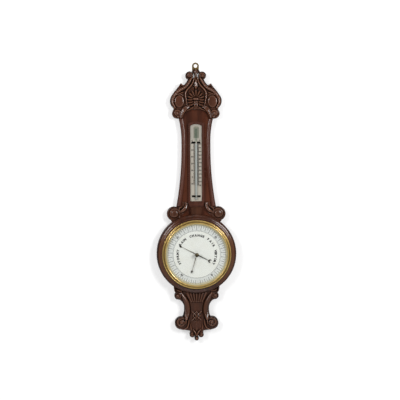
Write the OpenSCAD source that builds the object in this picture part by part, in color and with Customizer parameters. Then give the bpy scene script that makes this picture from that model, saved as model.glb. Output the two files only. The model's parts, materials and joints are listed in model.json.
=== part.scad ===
// Wall barometer: a carved case with a thermometer, and an aneroid movement behind a glazed dial.
// Millimetres. X runs to the right, Z up, and the front faces -Y. The origin is the centre of the
// hanging hole, on the plane of the wall. A depth is a distance in front of that plane.

/* [Case] */
// Thickness of the case board
board_t = 18; // [16:0.5:22]
// Half width of the shaft at its waist
waist_half = 44.3; // [42:0.1:47]
// Radius of the wooden disc round the dial
disc_r = 123.5; // [121:0.5:126]
// Height of the turned dial surround above the board
surround_h = 26; // [24:0.5:30]
// Height of the carved head, shoulders and tail above the board
carving_h = 8; // [6:0.5:10]

/* [Dial] */
// Radius of the dial plate
dial_r = 98; // [96:0.5:98.5]
// Opening of the brass bezel
sight_r = 94.5; // [93:0.5:95]
// Length of the main hand from its centre to its tip
hand_length = 61; // [55:1:64]
// Angle of the main hand from +X, counter-clockwise from the front
hand_angle = 153; // [0:1:359]
// Angle of the set hand from +X, counter-clockwise from the front
set_angle = 254; // [0:1:359]

/* [Thermometer] */
// Width of the scale plate
scale_w = 35.6; // [30:0.2:36.4]
// Outer radius of the glass tube
tube_r = 3.3; // [2.5:0.1:3.6]

/* [Movement] */
// Radius of the vacuum capsule
capsule_r = 24; // [20:0.5:25]
// Height of the corrugations of the capsule
corrugation = 0.55; // [0.2:0.05:0.7]
// Radius of the drum on the arbor that the chain winds on
drum_r = 1.2; // [1:0.05:1.4]
// Number of turns of the hairspring
hairspring_turns = 6; // [4:1:8]

/* [Hidden] */
$fn = 96;
eps = 0.01;

// Heights along the case, from the hanging hole downwards
head_bottom = -161;
shaft_top = -150;
waist_top = -232;
waist_bottom = -250;
shaft_bottom = -478;
dial_z = -579;

// The shaft's edges sweep out from the waist on these two radii
upper_sweep_r = 310;
lower_sweep_r = 1000;

// Depths of the carved layers and of the dial work
carving_d = board_t + carving_h;
surround_d = board_t + surround_h;
recess_d = 5;
base_t = 2;
base_d = recess_d + base_t;
dial_d = surround_d - 4;
dial_t = 1;
glass_d = surround_d + 2.5;
glass_t = 3;
bezel_top_d = glass_d + 6;

// Radii that the dial work shares
recess_r = 66;
access_r = 50;
cover_r = 56;
cover_t = 2.5;
surround_bore_r = 100;
bezel_r = 106;
glass_r = 98;

// Thermometer heights
scale_top = -184.5;
scale_rise = 5.5;
scale_bottom = -416;
clip_z = [-235.5, -401];
tube_top = -196;
bulb_z = -408;
tube_d = board_t + 1.5 + tube_r + 0.1;
fluid_r = 0.9;
fluid_top = -300;

// Places on the movement, from the dial's centre: X to the right, Z up
capsule_x = -14;
lever_tip = [40, 8];
rocker_x = 44;
rocker_d = 20;
chain_z = -drum_r - 0.35;
pillar_at = [[16, 26], [16, -26]];
adjuster_x = -45;
bridge_foot_z = 34;
// Depths of the movement's layers
capsule_d = base_d + 1.4;
bridge_d = 21.4;
bridge_t = 2.8;
spring_t = 0.8;
spring_gap = 5.2;
upper_leaf_d = bridge_d + spring_t + spring_gap;
lever_d = upper_leaf_d + spring_t;
lever_t = 1.2;
lower_plate_d = 31;
upper_plate_d = 37;
arbor_plate_t = 1.2;
hairspring_d = 35.7;
hand_d = 42.6;

// Running clearance on a pivot, and the gap left where two parts only come near each other
running = 0.04;
gap = 0.1;

wood = [0.24, 0.13, 0.09];
polished_wood = [0.3, 0.14, 0.09];
brass = [0.72, 0.57, 0.26];
steel = [0.55, 0.56, 0.58];
blued = [0.12, 0.13, 0.16];
enamel = [0.92, 0.92, 0.89];

// Points on an arc round c, from angle a to angle b
function arc(c, r, a, b, n = 12) =
  [for (i = [0:n]) let (t = a + (b - a) * i / n) c + r * [cos(t), sin(t)]];

// A smooth curve through hand-placed points, with n steps from each point to the next
function curve(p, n = 4) =
  let (last = len(p) - 1, q = concat([2 * p[0] - p[1]], p, [2 * p[last] - p[last - 1]]))
  concat(
    [for (i = [1:last], k = [0:n - 1])
      let (t = k / n, a = q[i - 1], b = q[i], c = q[i + 1], d = q[i + 2])
      b + 0.5 * t * ((c - a) + t * ((2 * a - 5 * b + 4 * c - d) + t * (3 * b - 3 * c + d - a)))],
    [p[last]]);

// A point at angle a and radius r
function polar(r, a) = r * [cos(a), sin(a)];

module both_sides() {
  children();
  mirror([1, 0, 0]) children();
}

// Flat shapes drawn in X and Z, given thickness between two depths
module relief(from, to) {
  rotate([90, 0, 0]) translate([0, 0, from])
    for (i = [0:$children - 1]) linear_extrude(to - from) children(i);
}

// A profile in radius and depth, turned about an axis that runs from the wall to the front
module turned(at = [0, 0], angle = 360, start = 0) {
  translate([at[0], 0, at[1]]) rotate([90, 0, 0]) rotate_extrude(angle = angle, start = start) children();
}

// A round pin that runs from the wall to the front
module pin(at, r, from, to) {
  translate([at[0], 0, at[1]]) rotate([90, 0, 0]) translate([0, 0, from]) cylinder(r = r, h = to - from);
}

// A side shape drawn in X and depth, given width between two heights
module side_piece(from, to) {
  translate([0, 0, from]) linear_extrude(to - from) mirror([0, 1]) children();
}

module at_dial() {
  translate([0, 0, dial_z]) children();
}

// A low dome, as on the eye of a scroll. It goes down by sunk into what carries it
module boss(at, r, from, h, sunk = 1) {
  ball_r = (r * r + h * h) / (2 * h);
  turned(at) intersection() {
    translate([0, from + h - ball_r]) circle(ball_r);
    translate([0, from - sunk]) square([r + 1, h + sunk + 1]);
  }
}

// A half-round band that follows a circle, as on the roll of a scroll
module roll(at, r, half_w, from, h, start = 0, angle = 360, sunk = 0.5) {
  round_r = (half_w * half_w + h * h) / (2 * h);
  turned(at, angle, start) intersection() {
    translate([r, from + h - round_r]) circle(round_r);
    translate([r - half_w, from - sunk]) square([2 * half_w, h + sunk + 0.5]);
  }
}

// A leaf or petal: a spindle that lies a little over half sunk, from radius r1 to r2 along angle a
module spindle(at, a, r1, r2, half_w, depth) {
  sunk = 0.4;
  root = 3;
  half = (r2 - r1) / 2;
  side_r = (half * half + half_w * half_w) / (2 * half_w);
  reach = r2 + half_w;
  intersection() {
    translate([at[0], sunk - depth, at[1]]) rotate([0, -a, 0]) translate([r1, 0, 0]) rotate([0, 90, 0])
      rotate_extrude() intersection() {
        translate([half_w - side_r, half]) circle(side_r);
        square([half_w + 1, 2 * half]);
      }
    // What would come out behind the layer that carries the leaf is cut off
    translate([at[0] - reach, -depth - reach, at[1] - reach]) cube([2 * reach, reach + root, 2 * reach]);
  }
}

// A wood or machine screw: a domed head on a plain shank
module screw(at, head_r, shank_r, from, head_at, head_h) {
  pin(at, shank_r, from, head_at);
  difference() {
    boss(at, head_r, head_at, head_h, 0);
    relief(head_at + head_h * 0.45, head_at + head_h + 1)
      translate([at[0] - head_r, at[1] - head_r * 0.14]) square([2 * head_r, head_r * 0.28]);
  }
}

// Centres of the carved scrolls and bosses, on the right-hand side
scroll_at = [19.6, -30.8];
boss_at = [52, -108];
lobe_at = [57.4, -146];
volute_at = [69, -455];
tail_scroll_at = [57.5, -711];
tail_volute_at = [49, -797.5];
pendant_at = [13.9, -834.2];

module head_side() {
  stem = curve([[0, -12], [7, -12.6], [10.6, -16], [13, -21.5]]);
  eye_hole = curve([[9.5, -22.6], [5.6, -25.4], [4, -30], [4.8, -35], [9, -38.6], [14, -40]]);
  neck = curve([[24, -41], [25.4, -45], [29.6, -52], [36, -59.4], [40, -59.6], [43.5, -56.6]]);
  ear = curve([[47, -54.6], [51.5, -62.5], [64, -77.6], [74, -91.5]]);
  foot = [[72, -108], [68, -134], [60, head_bottom], [-1, head_bottom]];
  polygon(concat([[-1, -12]], stem, eye_hole, neck, ear, foot));
  translate(scroll_at) circle(12);
  translate(boss_at) circle(27.3);
  translate(lobe_at) circle(15.7);
}

// The whole head
module head_outline() {
  both_sides() head_side();
}

// The right edge of the shaft, from the head down to the shoulders
function shaft_edge(inset = 0) = concat(
  arc([waist_half + upper_sweep_r, waist_top], upper_sweep_r + inset,
    180 - asin((shaft_top - waist_top) / (upper_sweep_r + inset)), 180, 8),
  arc([waist_half + lower_sweep_r, waist_bottom], lower_sweep_r + inset,
    180, 180 + asin((waist_bottom - shaft_bottom) / (lower_sweep_r + inset)), 14));

module shaft_outline() {
  both_sides() polygon(concat([[-1, shaft_top]], shaft_edge(), [[-1, shaft_bottom]]));
}

module disc_outline() {
  translate([0, dial_z]) circle(disc_r);
}

module shoulder_outline() {
  both_sides() {
    translate(volute_at) circle(21.8);
    polygon([[40, -430], volute_at + [-6, 20], volute_at + [9, -23], [40, -500]]);
  }
}

module tail_side() {
  top = curve([[71.5, -678], [70.4, -689], [66.4, -700.5], [60, -703]]);
  waist = curve([[56, -722.6], [50.5, -724.4], [44.5, -731], [39.6, -741], [38.4, -752.5], [39.6, -765],
    [42.4, -775], [46.5, -779.6]]);
  foot = curve([[52, -816.3], [40, -818.4], [30, -819.6], [21.6, -821]]);
  polygon(concat([[-1, -660], [60, -660]], top, [[52, -711]], waist, [tail_volute_at], foot,
    [[19, -830], [-1, -840]]));
  translate(tail_scroll_at) circle(11.5);
  translate(tail_volute_at) circle(19);
  translate(pendant_at) circle(8.2);
}

module tail_outline() {
  both_sides() tail_side();
  translate([0, -846]) circle(6.6);
}

// The plank that everything is built on, with the recess for the movement turned into it
module case_board() {
  color(wood) difference() {
    union() {
      relief(0, board_t) head_outline();
      relief(0, board_t) shaft_outline();
      relief(0, board_t) shoulder_outline();
      relief(0, board_t) disc_outline();
      relief(0, board_t) tail_outline();
    }
    at_dial() {
      pin([0, 0], recess_r, recess_d, board_t + 1);
      pin([0, 0], access_r, -1, recess_d + 1);
      pin([0, 0], cover_r + 0.15, -1, cover_t);
      for (a = cover_screw_angles) pin(polar(cover_screw_r, a), cover_shank_r, -1, recess_d - 0.6);
      for (a = base_screw_angles) pin(polar(base_screw_r, a), base_shank_r, base_screw_d, recess_d + 1);
    }
    hanger_blank(0.15, -1);
    for (z = hanger_screw_z) pin([0, z], hanger_shank_r, 0, 12);
  }
}

// The round-shouldered arch that the head leaves open above the thermometer, made wider by grow
module head_arch(grow = 0) {
  shoulder_r = 35;
  both_sides() translate([8, -170]) circle(shoulder_r + grow);
  translate([-8.1, -200]) square([16.2, 30 + shoulder_r + grow]);
}

module head_carving() {
  base_d = board_t + carving_h * 0.45;
  color(wood) difference() {
    union() {
      relief(board_t, base_d) difference() {
        head_outline();
        head_arch();
      }
      both_sides() {
        boss(scroll_at, 8, base_d, 5);
        roll(scroll_at, 10, 1.9, base_d, 3.4);
        boss(boss_at, 14.5, base_d, 7.5);
        roll(boss_at, 21.5, 5, base_d, 5, -100, 250);
        boss(lobe_at + [-2, 0], 8, base_d, 4);
        roll(lobe_at, 12.2, 3, base_d, 4, -190, 270);
        spindle([21, -43], -51, 0, 45, 4.4, base_d);
      }
      head_leaf();
      palmette();
      relief(base_d - 1, base_d + 3.2) difference() {
        head_arch(4.5);
        head_arch();
        translate([-60, -400]) square([120, 400 + head_bottom + 8]);
      }
    }
    // The arch stays open in front of the shaft
    relief(board_t - 1, board_t + 30) head_arch();
  }
}

// The long convex leaf on the centre line, under the finial
module head_leaf() {
  spindle([0, -40], -90, 0, 46, 5, board_t + carving_h * 0.45);
}

// The palmette in the middle of the head: petals round a knot
module palmette() {
  top_d = board_t + carving_h * 0.45;
  // The angle of each petal, and how far out it reaches
  petals = [[90, 19], [50, 17], [130, 17], [14, 17], [166, 17], [-24, 18], [204, 18], [-60, 19],
    [240, 19], [-90, 24]];
  for (p = petals) spindle([0, -107], p[0], 7, p[1], 2.7, top_d);
  boss([0, -107], 5, top_d, 5);
}

// A half-round moulding that follows each edge of the shaft
module edge_mouldings() {
  inset = 7.4;
  half_w = 6.4;
  rail_h = 5.6;
  upper_angle = asin((head_bottom - 1.5 - waist_top) / (upper_sweep_r + inset + half_w));
  lower_angle = asin((waist_bottom + 432) / (lower_sweep_r + inset + half_w));
  color(polished_wood) both_sides() {
    roll([waist_half + upper_sweep_r, waist_top], upper_sweep_r + inset, half_w, board_t, rail_h,
      180 - upper_angle, upper_angle, 0);
    roll([waist_half + lower_sweep_r, waist_bottom], lower_sweep_r + inset, half_w, board_t, rail_h,
      180, lower_angle, 0);
    translate([0, 0, waist_bottom]) linear_extrude(waist_top - waist_bottom) intersection() {
      round_r = (half_w * half_w + rail_h * rail_h) / (2 * rail_h);
      translate([waist_half - inset, -(board_t + rail_h - round_r)]) circle(round_r);
      translate([waist_half - inset - half_w, -(board_t + rail_h + 0.5)])
        square([2 * half_w, rail_h + 0.5]);
    }
  }
}

// The arched outline of the scale plate, made wider all round by grow
module scale_outline(grow = 0) {
  half = scale_w / 2 + grow;
  crown_r = (half * half + scale_rise * scale_rise) / (2 * scale_rise);
  intersection() {
    translate([-half, scale_bottom - grow])
      square([2 * half, scale_top + scale_rise - scale_bottom + 2 * grow]);
    union() {
      translate([-half, scale_bottom - grow]) square([2 * half, scale_top - scale_bottom + grow]);
      translate([0, scale_top + scale_rise + grow - crown_r]) circle(crown_r);
    }
  }
}

module thermometer_frame() {
  frame_w = 4.8;
  frame_h = 5;
  color(wood) union() {
    relief(board_t, board_t + frame_h) difference() {
      scale_outline(0.4 + frame_w);
      scale_outline(0.4);
    }
    relief(board_t, board_t + frame_h - 1.6) difference() {
      scale_outline(0.4 + frame_w + 2);
      scale_outline(0.4 + frame_w - 0.1);
    }
    // Sill of two steps under the plate
    relief(board_t, board_t + frame_h + 2.4) translate([-22, scale_bottom - 13]) square([44, 6.2]);
    relief(board_t, board_t + frame_h + 0.8) translate([-19.5, scale_bottom - 17]) square([39, 4.4]);
  }
}

module keystone() {
  color(wood) relief(board_t, carving_d + 2) difference() {
    polygon([[-17, -434], [17, -434], [14, -462], [-14, -462]]);
    translate([0, dial_z]) circle(disc_r + 0.1);
  }
}

module shoulder_scrolls() {
  base_top = board_t + carving_h * 0.5;
  inner = curve([[27, -418], [27.5, -432], [31, -444], [39, -454], [52, -464]]);
  color(wood) both_sides() difference() {
    union() {
      relief(board_t, base_top) {
        translate(volute_at) circle(21.8);
        polygon(concat(inner, [[60, -472], [66, -455], [56, -431], [50, -418]]));
      }
      boss(volute_at + [-2, 1], 13.5, base_top, 6);
      roll(volute_at, 17.8, 4, base_top, 5, -60, 230);
      roll([81, -418], 47.5, 3.6, base_top, 4.2, 183, 52);
    }
    relief(board_t - 1, carving_d + 20) translate([0, dial_z]) circle(disc_r + 0.1);
    relief(board_t - 1, carving_d + 20) rail_clearance();
  }
}

// Room for the shaft's edge moulding where it runs into a shoulder
module rail_clearance() {
  polygon(concat([[44, -400], [62, -400]], [[62, -432.2], [44, -432.2]]));
}

// The turned wooden ring that carries the bezel: a bead outside, a hollow, and a flat seat
module dial_surround() {
  bead_r = 10.5;
  seat_r = bezel_r + 0.8;
  hollow_r = 7;
  color(polished_wood) difference() {
    turned([0, dial_z]) polygon(concat(
      [[surround_bore_r, board_t], [disc_r, board_t], [disc_r, surround_d - 18]],
      arc([disc_r - bead_r, surround_d - 18], bead_r, 0, 90),
      arc([seat_r + hollow_r, surround_d - 0.5], hollow_r, 270, 180),
      [[seat_r, surround_d], [surround_bore_r, surround_d]]));
    at_dial() for (a = bezel_pin_angles) bezel_pin(a);
  }
}

module tail_carving() {
  base_top = board_t + carving_h * 0.45;
  color(wood) difference() {
    union() {
      relief(board_t, base_top) tail_outline();
      both_sides() {
        boss(tail_scroll_at, 6.4, base_top, 4);
        roll(tail_scroll_at, 9, 2.2, base_top, 3.2);
        boss(tail_volute_at + [-2, 2], 7, base_top, 5);
        roll(tail_volute_at, 14.6, 3.8, base_top, 4.6, -100, 240);
        roll([91.8, -752.5], 57.6, 4, base_top, 4.6, 150, 59);
        boss(pendant_at, 6.6, base_top, 4);
      }
      boss([0, -846], 5, base_top, 3.4);
      tail_flutes();
      tail_leaves();
    }
    relief(board_t - 1, board_t + 30) translate([0, dial_z]) circle(disc_r + 0.1);
  }
}

// Gadroons that hang from the dial surround
module tail_flutes() {
  top_d = board_t + carving_h * 0.45;
  for (a = [-15:6:15]) spindle([0, dial_z], a - 90, disc_r - 2, disc_r + 25, 5, top_d);
}

// Four crossed leaves above the foot
module tail_leaves() {
  top_d = board_t + carving_h * 0.45;
  for (a = [45:90:315]) spindle([0, -780], a, 5, 24, 3.2, top_d);
  boss([0, -780], 4, top_d, 3.6);
}

cover_screw_angles = [90, 210, 330];
cover_screw_r = 53;
cover_shank_r = 1.2;
adjuster_hole_r = 4;

module back_cover() {
  color(wood) at_dial() difference() {
    pin([0, 0], cover_r, 0, cover_t);
    pin([adjuster_x, 0], adjuster_hole_r, -1, cover_t + 1);
    for (a = cover_screw_angles) pin(polar(cover_screw_r, a), cover_shank_r, -1, cover_t + 1);
    for (a = cover_screw_angles) turned(polar(cover_screw_r, a))
      polygon([[0, -1], [2.4, -1], [2.4, 0], [0, 2.4]]);
  }
}

module back_cover_screws() {
  color(brass) at_dial() for (a = cover_screw_angles) difference() {
    turned(polar(cover_screw_r, a)) polygon([[0, 0], [2.4, 0], [cover_shank_r, 1.2],
      [cover_shank_r, recess_d - 0.7], [0, recess_d - 0.7]]);
    relief(-1, 0.5) translate(polar(cover_screw_r, a) - [3, 0.3]) square([6, 0.6]);
  }
}

hanger_t = 1.6;
hanger_hole_r = 5.75;
hanger_screw_z = [-50, -64];
hanger_shank_r = 1.3;

// The hanging plate's blank, made wider all round by grow
module hanger_blank(grow = 0, from = 0) {
  half = 10.25 + grow;
  strap = 4 + grow;
  relief(from, hanger_t) {
    circle(half);
    polygon([[-half, 0], [-half, -15], [-strap, -22], [-strap, -68], [strap, -68], [strap, -22],
      [half, -15], [half, 0]]);
    translate([0, -68]) circle(strap);
  }
}

module hanging_plate() {
  color(brass) difference() {
    hanger_blank();
    pin([0, 0], hanger_hole_r, -1, 3);
    for (z = hanger_screw_z)
      turned([0, z]) polygon([[0, -1], [2.5, -1], [2.5, 0], [hanger_shank_r, 1.2], [hanger_shank_r, 3],
        [0, 3]]);
  }
}

module hanging_plate_screws() {
  color(brass) for (z = hanger_screw_z) difference() {
    turned([0, z]) polygon([[0, 0], [2.5, 0], [hanger_shank_r, 1.2], [hanger_shank_r, 11], [0, 12]]);
    relief(-1, 0.5) translate([-3, z - 0.3]) square([6, 0.6]);
  }
}

module thermometer_plate() {
  color(enamel) difference() {
    relief(board_t, board_t + 1.5) scale_outline();
    for (z = clip_z, s = [-1, 1]) pin([s * clip_screw_x, z], clip_shank_r, board_t - 1, board_t + 2);
  }
}

module tube_shape(outer, bulb, cap) {
  translate([0, -tube_d, bulb_z]) cylinder(r = outer, h = cap - bulb_z);
  translate([0, -tube_d, bulb_z]) sphere(bulb);
  translate([0, -tube_d, cap]) sphere(outer);
}

module thermometer_tube() {
  color([0.8, 0.86, 0.86, 0.5]) difference() {
    tube_shape(tube_r, tube_r, tube_top);
    tube_shape(fluid_r, 2.4, fluid_top);
  }
}

module thermometer_fluid() {
  color([0.6, 0.62, 0.64]) tube_shape(fluid_r, 2.4, fluid_top);
}

clip_screw_x = 9.2;
clip_shank_r = 0.9;

// A blackened strap over the tube, with a foot on each side
module tube_clips() {
  strap_t = 0.7;
  over_r = tube_r + 0.05;
  foot_d = board_t + 1.5;
  color(blued) for (z = clip_z) difference() {
    side_piece(z - 3, z + 3) difference() {
      union() {
        translate([0, tube_d]) circle(over_r + strap_t);
        translate([-over_r - strap_t, foot_d]) square([2 * (over_r + strap_t), tube_d - foot_d]);
        translate([-13.5, foot_d]) square([27, strap_t]);
      }
      translate([0, tube_d]) circle(over_r);
      translate([-over_r, foot_d - 1]) square([2 * over_r, tube_d - foot_d + 1]);
    }
    for (s = [-1, 1]) pin([s * clip_screw_x, z], clip_shank_r, foot_d - 1, foot_d + 2);
  }
}

module clip_screws() {
  color(blued) for (z = clip_z, s = [-1, 1])
    screw([s * clip_screw_x, z], 2, clip_shank_r, board_t, board_t + 2.2, 1);
}

bezel_pin_angles = [30, 150, 270];

module bezel_pin(a) {
  rotate([0, -a, 0]) translate([surround_bore_r - 1.4, -(surround_d - 3), 0]) rotate([0, 90, 0])
    cylinder(r = 0.7, h = 9);
}

// A brass ring of two beads with a hollow between them, with a skirt that drops into the surround and a
// lip that holds the glass
module bezel() {
  outer_bead_r = 1.8;
  inner_bead_r = 2.5;
  hollow_r = 3.6;
  color(brass) difference() {
    turned([0, dial_z]) polygon(concat(
      [[surround_bore_r, surround_d], [bezel_r, surround_d]],
      arc([bezel_r - outer_bead_r, surround_d + outer_bead_r], outer_bead_r, 0, 150),
      arc([bezel_r - 3, bezel_top_d - 2.4], hollow_r, 262, 185),
      arc([sight_r + inner_bead_r, bezel_top_d - inner_bead_r], inner_bead_r, 0, 180),
      [[sight_r, glass_d + 2.1], [glass_r + 0.5, glass_d + 2.1], [glass_r + 0.5, surround_d - 5.5],
       [surround_bore_r - 0.1, surround_d - 5.5], [surround_bore_r - 0.1, surround_d]]));
    at_dial() for (a = bezel_pin_angles) bezel_pin(a);
  }
}

module bezel_pins() {
  color(brass) at_dial() for (a = bezel_pin_angles) bezel_pin(a);
}

glass_hole_r = 3.3;

// Flat glass with a wide bevel round its edge
module glass() {
  bevel_w = 12;
  edge_t = 1.6;
  color([0.85, 0.92, 0.92, 0.3]) turned([0, dial_z]) polygon([[glass_hole_r, glass_d], [glass_r, glass_d],
    [glass_r, glass_d + edge_t], [glass_r - bevel_w, glass_d + glass_t],
    [glass_hole_r, glass_d + glass_t]]);
}

// The sloping ring between the dial and the glass
module reflector_ring() {
  ring_t = 0.8;
  foot_r = 90;
  rim_r = sight_r + 0.3;
  color(brass) turned([0, dial_z]) polygon([[foot_r, dial_d + dial_t], [foot_r + ring_t, dial_d + dial_t],
    [rim_r + ring_t, glass_d - ring_t], [glass_r + 0.3, glass_d - ring_t], [glass_r + 0.3, glass_d],
    [rim_r, glass_d]]);
}

spindle_r = 1.5;
bush_bore_r = spindle_r + running;

module glass_bush() {
  color(brass) turned([0, dial_z]) polygon([[bush_bore_r, glass_d - 0.6], [5, glass_d - 0.6], [5, glass_d],
    [glass_hole_r, glass_d], [glass_hole_r, glass_d + glass_t], [5.4, glass_d + glass_t],
    [5.4, glass_d + glass_t + 1], [4.6, glass_d + glass_t + 1.6], [bush_bore_r, glass_d + glass_t + 1.6]]);
}

// A milled brass knob on a spindle that goes through the glass
module set_knob() {
  knob_d = glass_d + glass_t + 1.6 + gap;
  flutes = 24;
  color(brass) difference() {
    turned([0, dial_z]) polygon(concat(
      [[0, glass_d - 1.6], [spindle_r, glass_d - 1.6], [spindle_r, knob_d], [3.6, knob_d],
       [3.6, knob_d + 1.4], [5.8, knob_d + 2.2], [6.1, knob_d + 2.8], [6.1, knob_d + 5.6]],
      arc([0, knob_d - 5.4], 12.6, 61.5, 90, 6)));
    at_dial() for (i = [0:flutes - 1]) pin(polar(6.5, i * 360 / flutes), 0.6, knob_d + 1.9, knob_d + 9);
  }
}

module set_hand() {
  color(brass) at_dial() difference() {
    rotate([0, -set_angle, 0]) relief(glass_d - 1.6, glass_d - 1) {
      circle(3.4);
      polygon([[0, -1.1], [52, -0.5], [52, 0.5], [0, 1.1]]);
      polygon([[hand_length, 0], [53, 3], [51, 0.6], [51, -0.6], [53, -3]]);
    }
    pin([0, 0], spindle_r, glass_d - 2, glass_d);
  }
}

dial_pillar_r = 58;
dial_pillar_angles = [90, 210, 330];

module dial_plate() {
  color(enamel) at_dial() difference() {
    pin([0, 0], dial_r, dial_d, dial_d + dial_t);
    pin([0, 0], 2.6, dial_d - 1, dial_d + dial_t + 1);
  }
}

module dial_pillars() {
  color(brass) at_dial() for (a = dial_pillar_angles) {
    pin(polar(dial_pillar_r, a), 2.5, base_d, dial_d);
    pin(polar(dial_pillar_r, a), 1.4, recess_d, base_d + eps);
  }
}

// A needle with an arrow at its tip and a crescent on its tail
module main_hand() {
  tail = 46;
  crescent_r = 5.2;
  color(blued) at_dial() difference() {
    rotate([0, -hand_angle, 0]) relief(hand_d, hand_d + 0.6) {
      circle(4.2);
      polygon([[0, -1.1], [54, -0.4], [54, 0.4], [0, 1.1]]);
      polygon([[hand_length, 0], [54.5, 3.4], [52, 0.6], [52, -0.6], [54.5, -3.4]]);
      polygon([[0, 1.5], [4 - tail, 0.8], [4 - tail, -0.8], [0, -1.5]]);
      difference() {
        translate([-tail, 0]) circle(crescent_r);
        translate([-tail - 2.4, 0]) circle(crescent_r - 1.5);
      }
    }
    pin([0, 0], arbor_r, hand_d - 1, hand_d + 1);
  }
}

arbor_r = 0.9;
pivot_r = 0.45;

module hand_collet() {
  color(brass) turned([0, dial_z]) polygon([[arbor_r, hand_d - 0.9], [2.2, hand_d - 0.9], [2.2, hand_d],
    [arbor_r, hand_d]]);
}

// The arbor carries the hand in front and the chain's drum between the two plates
module arbor() {
  drum_d = lower_plate_d + arbor_plate_t + 0.4;
  color(steel) turned([0, dial_z]) polygon([[0, lower_plate_d + 0.2], [pivot_r, lower_plate_d + 0.2],
    [pivot_r, drum_d], [2, drum_d], [2, drum_d + 0.5], [drum_r, drum_d + 0.5], [drum_r, drum_d + 2.2],
    [2, drum_d + 2.2], [2, drum_d + 2.6], [arbor_r, drum_d + 2.6], [arbor_r, hand_d + 1],
    [0.5, hand_d + 1.6], [0, hand_d + 1.6]]);
}

// A flat spiral from a collar on the arbor to a stud on the upper plate
module hairspring() {
  inner_r = arbor_r + 0.5;
  outer_r = 8.6;
  strip_t = 0.22;
  steps = 20 * hairspring_turns;
  turn = 360 * hairspring_turns / steps;
  pitch = (outer_r - inner_r) / steps;
  spiral = [for (i = [0:steps]) polar(inner_r + pitch * i, turn * i)];
  back = [for (i = [steps:-1:0]) polar(inner_r + strip_t + pitch * i, turn * i)];
  color(blued) at_dial() {
    relief(hairspring_d, hairspring_d + 0.6) polygon(concat(spiral, back));
    pin([outer_r + 0.6, 0], 0.6, hairspring_d - 0.2, upper_plate_d);
  }
}

module chain() {
  chain_d = lower_plate_d + arbor_plate_t + 1.75;
  color(steel) translate([0, -chain_d, dial_z + chain_z]) rotate([0, 90, 0])
    cylinder(r = 0.3, h = rocker_x - 1.2);
}

base_screw_angles = [30, 150, 270];
base_screw_r = 57;
base_shank_r = 1.4;
base_screw_d = cover_t + 0.2;
adjuster_r = 2;
post_r = 2;

module base_plate() {
  color(brass) at_dial() difference() {
    pin([0, 0], recess_r - 1.5, recess_d, base_d);
    for (a = dial_pillar_angles) pin(polar(dial_pillar_r, a), 1.4, 0, base_d + 1);
    for (a = base_screw_angles) pin(polar(base_screw_r, a), base_shank_r, 0, base_d + 1);
    pin([adjuster_x, 0], adjuster_r + running, 0, base_d + 1);
    pin([capsule_x, 0], 1.6, 0, base_d + 1);
    for (p = pillar_at) pin(p, 1.4, 0, base_d + 1);
    for (s = [-1, 1]) pin([capsule_x, s * bridge_foot_z], bridge_shank_r, 0, base_d + 1);
  }
}

module base_plate_screws() {
  color(steel) at_dial() for (a = base_screw_angles)
    screw(polar(base_screw_r, a), 3, base_shank_r, base_screw_d, base_d, 1.6);
}

// Height of the corrugations at radius r: flat in the middle, then rings, then the soldered rim
function corrugation_at(r) = r < 5 || r > capsule_r - 3 ? 0 : corrugation * sin(360 * (r - 5) / 4);

// One formed diaphragm, dished towards the front when side is 1 and towards the wall when it is -1
module diaphragm(side) {
  rim_d = capsule_d + 4;
  sheet_t = 0.5;
  dish = 3.2;
  face = [for (r = [4:0.5:capsule_r - 3]) [r, rim_d + side * (dish + corrugation_at(r))]];
  inner = [for (i = [len(face) - 1:-1:0]) face[i] - [0, side * sheet_t]];
  turned([capsule_x, dial_z]) polygon(concat(
    [[0, rim_d + side * dish]], face,
    [[capsule_r - 1.6, rim_d + side * 0.5], [capsule_r, rim_d + side * 0.5], [capsule_r, rim_d],
     [capsule_r - 2.4, rim_d]],
    inner, [[0, rim_d + side * (dish - sheet_t)]]));
}

module capsule_lower_half() {
  color(brass) {
    diaphragm(-1);
    at_dial() pin([capsule_x, 0], 4, base_d, capsule_d + 0.9);
    at_dial() pin([capsule_x, 0], 1.6, recess_d, base_d + eps);
  }
}

module capsule_upper_half() {
  color(brass) {
    diaphragm(1);
    at_dial() pin([capsule_x, 0], 4, capsule_d + 7.1, capsule_d + 8.8);
  }
}

// The post on the capsule, with the knife-edge bar that the mainspring lifts
module capsule_post() {
  bar_d = lever_d + lever_t + gap;
  color(steel) at_dial() {
    pin([capsule_x, 0], post_r, capsule_d + 8.8, bar_d + 1.6);
    side_piece(-5, 5) polygon([[capsule_x - 0.3, bar_d], [capsule_x + 0.3, bar_d],
      [capsule_x + 1.3, bar_d + 1.2], [capsule_x + 1.3, bar_d + 1.9], [capsule_x - 1.3, bar_d + 1.9],
      [capsule_x - 1.3, bar_d + 1.2]]);
  }
}

bridge_shank_r = 1.5;

// A bridge that stands astride the capsule, with a tail that the adjusting screw bears on
module spring_bridge() {
  leg_z = 27.5;
  color(brass) at_dial() difference() {
    union() {
      relief(bridge_d - bridge_t, bridge_d) {
        translate([capsule_x - 8, -leg_z - 3]) square([16, 2 * leg_z + 6]);
        translate([adjuster_x - 2, -8]) square([capsule_x - adjuster_x, 16]);
        translate([adjuster_x - 2, 0]) circle(8);
      }
      for (s = [-1, 1]) {
        relief(base_d, bridge_d - bridge_t + eps)
          translate([capsule_x - 8, s * (leg_z + 1.5) - 1.5]) square([16, 3]);
        relief(base_d, base_d + 2) {
          translate([capsule_x - 8, s * (leg_z + 3.5) - 3.5]) square([16, 7]);
          translate([capsule_x, s * bridge_foot_z]) circle(5);
        }
      }
    }
    pin([capsule_x, 0], post_r + 1.2, base_d, bridge_d + 1);
    for (s = [-1, 1]) pin([capsule_x, s * bridge_foot_z], bridge_shank_r, base_d - 1, base_d + 4);
    for (p = spring_screw_at) pin(p, spring_shank_r, bridge_d - 2, bridge_d + 1);
  }
}

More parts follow.
